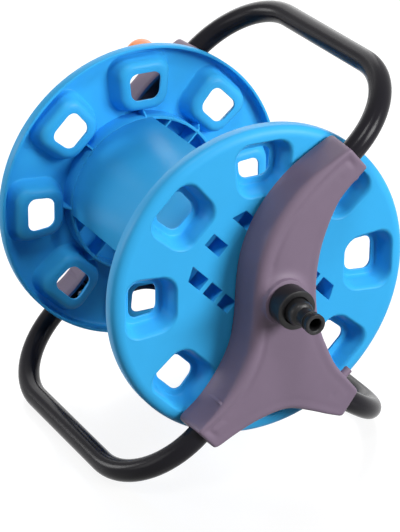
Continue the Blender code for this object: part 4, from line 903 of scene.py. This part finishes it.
boss_r = 0.0192
front_boss_x = bracket_face_x + 0.0058
spigot_x = front_boss_x + 0.0075
sleeve_rows = [(bush_end_x + 0.0003, sleeve_bore_r), (bush_x + 0.0004, sleeve_bore_r),
               (bush_x, sleeve_bore_r + 0.0004),
               (bush_x, sleeve_r - 0.0004), (bush_x + 0.0004, sleeve_r), (bracket_face_x - 0.0040, sleeve_r),
               (bracket_face_x - 0.0030, sleeve_r + 0.0010)]
front_rows = [(front_boss_x - 0.0010, 0.0187), (front_boss_x - 0.0003, 0.0184), (front_boss_x, 0.0178),
              (front_boss_x, 0.0145), (front_boss_x + 0.0004, 0.0139), (spigot_x - 0.0004, 0.0139),
              (spigot_x, 0.0135), (spigot_x, 0.0072), (spigot_x - 0.0004, 0.0068), (bush_end_x + 0.0003, 0.0068)]
bracket("front_bracket", 1, front_rows + sleeve_rows, 0.0024, boss_r)
rear_boss_x = bracket_face_x + 0.002
rear_rows = [(rear_boss_x - 0.0008, 0.0188), (rear_boss_x - 0.0002, 0.0186), (rear_boss_x, 0.0180),
             (rear_boss_x, 0.0121), (rear_boss_x - 0.0004, 0.0117), (bush_end_x + 0.0003, 0.0117)]
bracket("rear_bracket", -1, rear_rows + sleeve_rows, 0.0010, boss_r)

# Bushes
# A plain acetal ring is pressed into each bracket's sleeve. The reel's two journals turn in them.
acetal = plastic("natural acetal", (0.70, 0.69, 0.65), (0.80, 0.79, 0.76), 90.0, 0.02, 3000.0, 0.05, 0.38)
bush_outer_r = 0.01325
for name, side in (("front_bush", 1), ("rear_bush", -1)):
    bm = bmesh.new()
    lathe(bm, [(side * bush_x, bore_r), (side * bush_x, bush_outer_r), (side * bush_end_x, bush_outer_r),
               (side * bush_end_x, bore_r)], ease=0.0005)
    finished(name + "_ring", bm, acetal, "frame", "bush_white", name)

# Water inlet
# A black quick-connect nipple stands on the front boss. A collar holds its shoulder on the spigot, and two
# rubber rings on its stem seal inside the turning elbow. Its tip, ring and groove take a hose connector.
body_x = spigot_x + 0.0003 + 0.002
dome_x = body_x + 0.0104
neck_x = dome_x + 0.006
ring_start = neck_x + 0.009
groove_x = ring_start + 0.002
tip_x = groove_x + 0.0038
end_x = tip_x + 0.004
stem_x = hub_x + 0.0245
nipple_profile = [(stem_x, 0.0048), (stem_x, 0.0065), (spigot_x + 0.0003, 0.0065), (spigot_x + 0.0003, 0.0136),
                  (body_x, 0.0136), (body_x, 0.0106), (dome_x, 0.0106)]
for i in range(1, 7):
    a = radians(15 * i)
    nipple_profile.append((dome_x + 0.006 * sin(a), 0.0106 - 0.0024 * (1 - cos(a))))
nipple_profile += [(neck_x + 0.0006, 0.0069), (ring_start, 0.0069), (ring_start, 0.0080), (groove_x, 0.0080),
                   (groove_x, 0.0067), (tip_x, 0.0067), (tip_x, 0.0084), (end_x, 0.0084), (end_x, 0.0056),
                   (end_x - 0.0012, 0.0048)]
nipple = bmesh.new()
lathe(nipple, nipple_profile, sides=96, ease=0.0005)
finished("hose_nipple", nipple, fitting_black, "frame", "fitting_black", "inlet_nipple")
collar_x = front_boss_x + 0.0003
collar_end = collar_x + 0.0162
collar_r = 0.0162
collar = bmesh.new()
lathe(collar, [(collar_x, 0.0142), (collar_x, collar_r), (collar_end, collar_r), (collar_end, 0.0109),
               (body_x + 0.0003, 0.0109), (body_x + 0.0003, 0.0142)], sides=96, ease=0.0009)
finished("nipple_ring", collar, fitting_black, "frame", "fitting_black", "inlet_collar")
rubber = plastic("black nitrile rubber", (0.014, 0.014, 0.014), (0.03, 0.03, 0.03), 120.0, 0.08,
                 3500.0, 0.20, 0.62, 0.3)
for number in (1, 2):
    seal = bmesh.new()
    seal_x = stem_x + 0.0035 * number
    section = [(seal_x + 0.0009 * cos(a), 0.0077 + 0.0009 * sin(a)) for a in (radians(30 * i) for i in range(12))]
    lathe(seal, section, sides=72, ease=0.0)
    finished(f"seal_ring_{number}", seal, rubber, "frame", "seal_rubber", f"stem_seal_{number}")

# Crank
# One black moulding: a hub with the rear journal and a square drive that enters the reel, and an arm with a
# sunken back between two flanges. A screw through its middle holds it, over a washer.
crank_turn = radians(61)
crank_r = 0.097
crank_x = rear_boss_x + 0.0012 + 0.0006
crank_arm_x = crank_x + 0.0082
crank_face_x = crank_x + 0.0112
crank_hub_r = 0.017
crank_end_r = 0.010
on_crank = Matrix.Translation(axle) @ Matrix.Rotation(crank_turn, 4, "X")
crank_lean = acos((crank_hub_r - crank_end_r) / crank_r)


def crank_outline(inset):
    """The arm's outline, a larger round at the hub and a smaller one at the knob."""
    outline = []
    for i in range(17):
        a = -crank_lean + 2 * crank_lean * i / 16
        outline.append((crank_r + (crank_end_r - inset) * cos(a), (crank_end_r - inset) * sin(a)))
    for i in range(33):
        a = crank_lean + (2 * pi - 2 * crank_lean) * i / 32
        outline.append(((crank_hub_r - inset) * cos(a), (crank_hub_r - inset) * sin(a)))
    return outline


crank_bm = bmesh.new()
arm_edge = crank_outline(0.0)
pan = outset(arm_edge, -0.0026)
rows = [at_x(crank_outline(0.0006), -crank_x), at_x(crank_outline(0.0001), -crank_x - 0.0002),
        at_x(arm_edge, -crank_x - 0.0007), at_x(arm_edge, -crank_arm_x + 0.0012),
        at_x(crank_outline(0.0003), -crank_arm_x + 0.0004), at_x(crank_outline(0.0010), -crank_arm_x)]
rows += stepped(arm_edge, (-0.0022, -crank_arm_x))
rows += stepped(pan, (0, -crank_arm_x + 0.0004), (0, -crank_arm_x + 0.0028), (-0.0004, -crank_arm_x + 0.0032))
capped(crank_bm, rows)
boss_foot_x = -crank_x - 0.0004
lathe(crank_bm, [(boss_foot_x, 0.0056), (boss_foot_x, 0.0155), (-crank_face_x, 0.0155), (-crank_face_x, 0.0053),
                 (-crank_face_x + 0.0046, 0.0053), (-crank_face_x + 0.0046, crank_screw_way),
                 (-crank_x - 0.0030, crank_screw_way)], ease=0.0008)
lathe(crank_bm, [(boss_foot_x, 0.0043), (boss_foot_x, 0.0085), (-crank_face_x, 0.0085), (-crank_face_x, 0.0043)],
      centre=(crank_r, 0.0), ease=0.0006)
lathe(crank_bm, [(-crank_x - 0.0006, crank_screw_way), (-crank_x - 0.0006, journal_r), (-face_x - 0.0003, journal_r),
                 (-face_x - 0.0003, crank_screw_way)], ease=0.0005)
drive_half = 0.0077
drive = eased([(drive_half * y, drive_half * z) for y, z in ((-1, -1), (1, -1), (1, 1), (-1, 1))], 0.0010)
bolt_way = [(crank_screw_way * cos(atan2(z, y)), crank_screw_way * sin(atan2(z, y))) for y, z in drive]
drive_end_x = -face_x + 0.0117
drive_rows = stepped(drive, (0, -face_x - 0.0009), (0, drive_end_x - 0.0005), (-0.0005, drive_end_x))
wall(crank_bm, drive_rows + stepped(bolt_way, (0, drive_end_x), (0, -face_x - 0.0009)), closed=True)
finished("crank_moulding", crank_bm, fitting_black, "reel", "fitting_black", "crank_arm", place=on_crank)
washer = bmesh.new()
washer_x = rear_boss_x + 0.0003
lathe(washer, [(-washer_x, journal_r + 0.0003), (-washer_x, 0.0165), (-washer_x - 0.0012, 0.0165),
               (-washer_x - 0.0012, journal_r + 0.0003)], ease=0.0003)
finished("crank_thrust_washer", washer, acetal, "reel", "bush_white", "crank_washer")

# Knob
# An orange knob turns on a steel pin that is pressed into the arm's end. A black cap closes its recess.
orange = plastic("signal orange polypropylene", (1.0, 0.275, 0.060), (1.0, 0.42, 0.16), 40.0, 0.02,
                 1800.0, 0.10, 0.38, 0.45)
knob_x = crank_face_x + 0.0003
knob_end_x = knob_x + 0.040
knob_at = (crank_r, 0.0)
knob_swell = 0.0036
knob_most_r = 0.0108 + knob_swell
knob_profile = [(-knob_x, 0.00435), (-knob_x, 0.0110)]
for i in range(1, 9):
    t = i / 8
    swell = 3 * t * t - 2 * t ** 3
    knob_profile.append((-knob_x - 0.033 * t, knob_most_r - knob_swell * (1 - swell)))
for i in range(1, 6):
    a = radians(16 * i)
    knob_profile.append((-knob_x - 0.033 - 0.007 * sin(a), knob_most_r - 0.0060 * (1 - cos(a))))
recess_x = knob_end_x - 0.0103
knob_profile += [(-knob_end_x, 0.0092), (-knob_end_x, 0.0074), (-recess_x, 0.0074), (-recess_x, 0.00435)]
knob_bm = bmesh.new()
lathe(knob_bm, knob_profile, sides=96, centre=knob_at, ease=0.0004)
finished("knob_grip", knob_bm, orange, "knob", "knob_orange", "crank_knob", place=on_crank)
cap_bm = bmesh.new()
cap_x = knob_end_x - 0.0025
lathe(cap_bm, [(-cap_x, 0.0002), (-cap_x, 0.0071), (-knob_end_x, 0.0071), (-knob_end_x + 0.0002, 0.0002)],
      sides=72, centre=knob_at, ease=0.0005)
finished("knob_end_cap", cap_bm, fitting_black, "knob", "fitting_black", "knob_cap", place=on_crank)

# Frame tubes
# Three like lengths of 19 mm steel tube, each bent twice on the same former and powder coated satin black.
# Their legs go into the brackets' arms. One is the handle and two are the feet.
coat, coat_in = new_tree(
    "powder coat", "ShaderNodeTree",
    {"Colour": "Color", "Dust": "Color", "Peel size": "Float", "Peel": "Float", "Roughness": "Float"}, look_outputs)
on_piece = joined(coat, "ShaderNodeTexCoord").outputs["Object"]
peel = joined(coat, "ShaderNodeTexNoise",
              {"Vector": on_piece, "Scale": coat_in["Peel size"], "Detail": 2.0, "Roughness": 0.5})
drift = joined(coat, "ShaderNodeTexNoise", {"Vector": on_piece, "Scale": 16.0, "Detail": 3.0})
dusted = spread(coat, drift, 0.0, 0.25, From_Min=0.52, From_Max=0.80)
coat_colour = joined(coat, "ShaderNodeMix", {"Factor": dusted, "A": coat_in["Colour"], "B": coat_in["Dust"]},
                     data_type="RGBA")
coat_rough = reckon(coat, "ADD", spread(coat, drift, -0.05, 0.05), coat_in["Roughness"])
coat_bump = joined(coat, "ShaderNodeBump", {"Strength": coat_in["Peel"], "Distance": 0.0001, "Height": peel})
joined(coat, "NodeGroupOutput", {"Colour": coat_colour, "Roughness": coat_rough, "Normal": coat_bump})
tube_black = finish_of("satin black powder coat", (0.012, 0.011, 0.013), coat, {
    "Colour": (0.010, 0.0092, 0.013, 1.0), "Dust": (0.023, 0.021, 0.029, 1.0), "Peel size": 900.0, "Peel": 0.25,
    "Roughness": 0.24}, {"Specular IOR Level": 0.12})

tube_tree, tube_in = piece_tree("bent tube", {
    "Centre line": "Geometry", "Radius": "Float", "Wall": "Float", "Sides": "Int"})
tube_line = joined(tube_tree, "GeometryNodeMeshToCurve", {"Mesh": tube_in["Centre line"]})
skins = []
for skin_r in (reckon(tube_tree, "SUBTRACT", tube_in["Radius"], tube_in["Wall"]), tube_in["Radius"]):
    round_section = joined(tube_tree, "GeometryNodeCurvePrimitiveCircle",
                           {"Resolution": tube_in["Sides"], "Radius": skin_r}, mode="RADIUS")
    skins.append(joined(tube_tree, "GeometryNodeCurveToMesh", {"Curve": tube_line, "Profile Curve": round_section}))
ends_in(tube_tree, joined(tube_tree, "GeometryNodeJoinGeometry", {0: skins}), tube_in)

bend_r = 0.0685
tube_r = 0.0092
bend_steps = 20
leg_bend_end = 0.083
quarter = [pi / 2 * i / bend_steps for i in range(bend_steps + 1)]
for name, arm in zip(("handle_tube", "left_foot_tube", "right_foot_tube"), arms):
    way = [(-leg_x, leg_end), (-leg_x, leg_bend_end)]
    way += [(-leg_x + bend_r * (1 - cos(a)), bend_r * (1 - sin(a))) for a in quarter]
    way += [(-0.030, 0.0), (0.0, 0.0), (0.030, 0.0)]
    way += [(leg_x - bend_r * (1 - sin(a)), bend_r * (1 - cos(a))) for a in quarter]
    way += [(leg_x, leg_bend_end), (leg_x, leg_end)]
    line = bmesh.new()
    verts = [line.verts.new((x, *on_leg(arm, reach))) for x, reach in way]
    for a, b in zip(verts, verts[1:]):
        line.edges.new((a, b))
    tube = bmesh.new()
    tube.from_mesh(grown_by_nodes(line, tube_tree, {
        "Radius": tube_r, "Wall": 0.001, "Sides": 40, "Finish": tube_black}))
    open_edges = [e for e in tube.edges if e.is_boundary]
    loops = []
    while open_edges:
        loop, grows = {open_edges.pop()}, True
        while grows:
            tips = {v for e in loop for v in e.verts}
            more = [e for e in open_edges if e.verts[0] in tips or e.verts[1] in tips]
            loop.update(more)
            open_edges = [e for e in open_edges if e not in loop]
            grows = bool(more)
        loops.append(loop)
    for side in (-1, 1):
        ends = [e for loop in loops for e in loop if e.verts[0].co.x * side > 0]
        bmesh.ops.bridge_loops(tube, edges=ends)
    finished("bent_" + name, tube, tube_black, "frame", "tube_black", name)

# Screws
# Zinc-plated self-tapping screws: one holds each leg in its arm, two hold the elbow and a longer one the crank.
# Each has a domed head with a cross recess and a rolled thread.
screw_tree, screw_in = piece_tree("cross-head screw", {
    "Places": "Geometry", "Head radius": "Float", "Head height": "Float", "Shank radius": "Float",
    "Length": "Float", "Pitch": "Float"})


def share(label, by):
    """A share of one of the screw's own sizes."""
    return reckon(screw_tree, "MULTIPLY", screw_in[label], by)


def moved(geometry, **by):
    return joined(screw_tree, "GeometryNodeTransform", {"Geometry": geometry, **by})


def vector(**parts):
    return joined(screw_tree, "ShaderNodeCombineXYZ", parts)


core_r = share("Shank radius", 0.80)
shank = joined(screw_tree, "GeometryNodeMeshCone",
               {"Vertices": 20, "Side Segments": 1, "Radius Top": core_r, "Radius Bottom": core_r,
                "Depth": screw_in["Length"]})
thread_length = reckon(screw_tree, "SUBTRACT", screw_in["Length"], 0.0015)
thread_line = joined(screw_tree, "GeometryNodeCurveSpiral",
                     {"Resolution": 18, "Rotations": reckon(screw_tree, "DIVIDE", thread_length, screw_in["Pitch"]),
                      "Start Radius": core_r, "End Radius": core_r, "Height": thread_length})
thread_section = joined(screw_tree, "GeometryNodeCurvePrimitiveCircle",
                        {"Resolution": 4, "Radius": share("Shank radius", 0.19)}, mode="RADIUS")
thread = joined(screw_tree, "GeometryNodeCurveToMesh",
                {"Curve": thread_line, "Profile Curve": thread_section, "Fill Caps": True})
head = joined(screw_tree, "GeometryNodeMeshUVSphere", {"Segments": 28, "Rings": 14, "Radius": 1.0})
head_r = screw_in["Head radius"]
head_shape = moved(head, Scale=vector(X=head_r, Y=head_r, Z=screw_in["Head height"]))
below = moved(joined(screw_tree, "GeometryNodeMeshCube", {"Size": (0.03, 0.03, 0.02)}), Translation=(0.0, 0.0, -0.01))
blade_size = vector(X=share("Head radius", 1.15), Y=share("Head radius", 0.22), Z=screw_in["Head height"])
blade = moved(joined(screw_tree, "GeometryNodeMeshCube", {"Size": blade_size}),
              Translation=vector(Z=share("Head height", 0.95)))
head_cut = joined(screw_tree, "GeometryNodeMeshBoolean",
                  {"Mesh 1": head_shape, "Mesh 2": [below, blade, moved(blade, Rotation=(0.0, 0.0, pi / 2))]},
                  operation="DIFFERENCE", solver="EXACT")
shaft = moved(joined(screw_tree, "GeometryNodeJoinGeometry", {0: [shank, thread]}),
              Translation=vector(Z=share("Length", -1.0)))
whole_screw = joined(screw_tree, "GeometryNodeJoinGeometry", {0: [head_cut, shaft]})
aim = joined(screw_tree, "GeometryNodeInputNamedAttribute", {"Name": "head_way"}, data_type="FLOAT_VECTOR")
facing = joined(screw_tree, "FunctionNodeAlignRotationToVector", {"Vector": aim}, axis="Z")
ends_in(screw_tree, joined(screw_tree, "GeometryNodeInstanceOnPoints",
                           {"Points": screw_in["Places"], "Instance": whole_screw, "Rotation": facing}), screw_in)

zinc = finish_of("zinc plate", (0.55, 0.55, 0.56), coat, {
    "Colour": (0.55, 0.55, 0.56, 1.0), "Dust": (0.40, 0.41, 0.42, 1.0), "Peel size": 2400.0, "Peel": 0.2,
    "Roughness": 0.28}, {"Metallic": 1.0})


def screws(name, body, places, sizes, stood_for, place=None):
    """Screws at (head seat, direction that the head faces) places."""
    spots = bmesh.new()
    way = spots.verts.layers.float_vector.new("head_way")
    for seat, facing_way in places:
        spot = spots.verts.new(seat)
        spot[way] = facing_way
    made = bmesh.new()
    keys = ("Head radius", "Head height", "Shank radius", "Length", "Pitch")
    made.from_mesh(grown_by_nodes(spots, screw_tree, {**dict(zip(keys, sizes)), "Finish": zinc}))
    finished(name, made, zinc, body, "screw_steel", *stood_for, place=place, crease=50)


head_seat = leg_x - tube_r - 0.0003
tube_screws = []
screw_names = []
for arm, arm_name in zip(arms, ("handle", "left_foot", "right_foot")):
    for side, side_name in ((1, "front"), (-1, "rear")):
        tube_screws.append(((side * head_seat, *on_leg(arm, tube_screw_reach)), (-side, 0.0, 0.0)))
        screw_names.append(f"{arm_name}_{side_name}_screw")
screws("leg_screws", "frame", tube_screws, (0.0036, 0.0024, 0.0019, 0.0215, 0.0014), screw_names)
elbow_seats = [((elbow_body_x - 0.0003, y, 0.0), (-1.0, 0.0, 0.0)) for y in (-elbow_screw_y, elbow_screw_y)]
screws("elbow_bolts", "reel", elbow_seats, (0.0036, 0.0024, 0.0019, 0.0155, 0.0014),
       ("elbow_screw_1", "elbow_screw_2"), place=on_reel)
screws("crank_bolt", "reel", [((-crank_face_x + 0.0043, 0.0, 0.0), (-1.0, 0.0, 0.0))],
       (0.0048, 0.0036, 0.0025, 0.0615, 0.0018), ("crank_screw",), place=on_crank)
pin = bmesh.new()
lathe(pin, [(-crank_x - 0.0015, 0.0002), (-crank_x - 0.0015, 0.0040), (-recess_x - 0.0003, 0.0040),
            (-recess_x - 0.0003, 0.0068), (-recess_x - 0.0036, 0.0066), (-recess_x - 0.0040, 0.0002)], sides=48,
      centre=knob_at, ease=0.0004)
finished("knob_shaft", pin, zinc, "reel", "screw_steel", "knob_pin", place=on_crank)

# Floor and light
# A seamless white studio floor. One large soft lamp stands on the inlet's side to the right, and smaller ones
# above, to the left and behind. The floor keeps a very faint shadow and reflection of the feet.
floor_finish = bpy.data.materials.new("studio floor")
floor_finish.use_nodes = True
floor_tree = floor_finish.node_tree
floor_tree.nodes.clear()


def seen_plain(tree):
    """1 where the background is seen directly, in gloss or through glass, and 0 for its light on the reel."""
    ray = tree.nodes.new("ShaderNodeLightPath").outputs
    seen = reckon(tree, "MAXIMUM", ray["Is Camera Ray"], ray["Is Glossy Ray"])
    return reckon(tree, "MAXIMUM", seen, ray["Is Transmission Ray"])


own_light = joined(floor_tree, "ShaderNodeEmission", {"Color": (1, 1, 1, 1), "Strength": 0.97})
matt = joined(floor_tree, "ShaderNodeBsdfDiffuse", {"Color": (0.15, 0.15, 0.15, 1)})
pale_matt = joined(floor_tree, "ShaderNodeBsdfDiffuse", {"Color": (0.10, 0.10, 0.10, 1)})
polish = joined(floor_tree, "ShaderNodeBsdfGlossy", {"Color": (1, 1, 1, 1), "Roughness": 0.28})
lit = joined(floor_tree, "ShaderNodeAddShader", {0: own_light, 1: pale_matt})
polished = joined(floor_tree, "ShaderNodeMixShader", {0: 0.08, 1: lit, 2: polish})
floor_mix = joined(floor_tree, "ShaderNodeMixShader", {0: seen_plain(floor_tree), 1: matt, 2: polished})
joined(floor_tree, "ShaderNodeOutputMaterial", {"Surface": floor_mix})
floor_bm = bmesh.new()
bmesh.ops.create_grid(floor_bm, x_segments=1, y_segments=1, size=12.0)
floor_mesh = mesh_of("studio_floor", floor_bm)
floor_mesh.materials.append(floor_finish)
floor_item = in_scene("studio_floor", floor_mesh)

world = bpy.data.worlds.new("studio")
world.use_nodes = True
bpy.context.scene.world = world
sky = world.node_tree
sky.nodes.clear()
sky_strength = spread(sky, seen_plain(sky), 0.012, 1.0)
sky_light = joined(sky, "ShaderNodeBackground", {"Color": (1, 1, 1, 1), "Strength": sky_strength})
joined(sky, "ShaderNodeOutputWorld", {"Surface": sky_light})


def lamp(name, place, size, power):
    """A square softbox that faces the reel."""
    data = bpy.data.lights.new(name, "AREA")
    data.shape = "SQUARE"
    data.size = size
    data.energy = power
    item = in_scene(name, data)
    item.location = axle + Vector(place)
    item.rotation_euler = (-Vector(place)).to_track_quat("-Z", "Y").to_euler()


lamp("key", (2.8, 1.9, 1.3), 1.5, 138.0)
lamp("top", (1.1, -0.3, 2.2), 0.6, 20.0)
lamp("left", (-0.2, -2.0, 0.7), 0.9, 7.0)
lamp("back", (-1.5, -1.7, 0.6), 0.7, 16.0)
lamp("rear", (-2.4, 0.8, 1.2), 2.4, 36.0)
bpy.context.scene.view_settings.view_transform = "Standard"
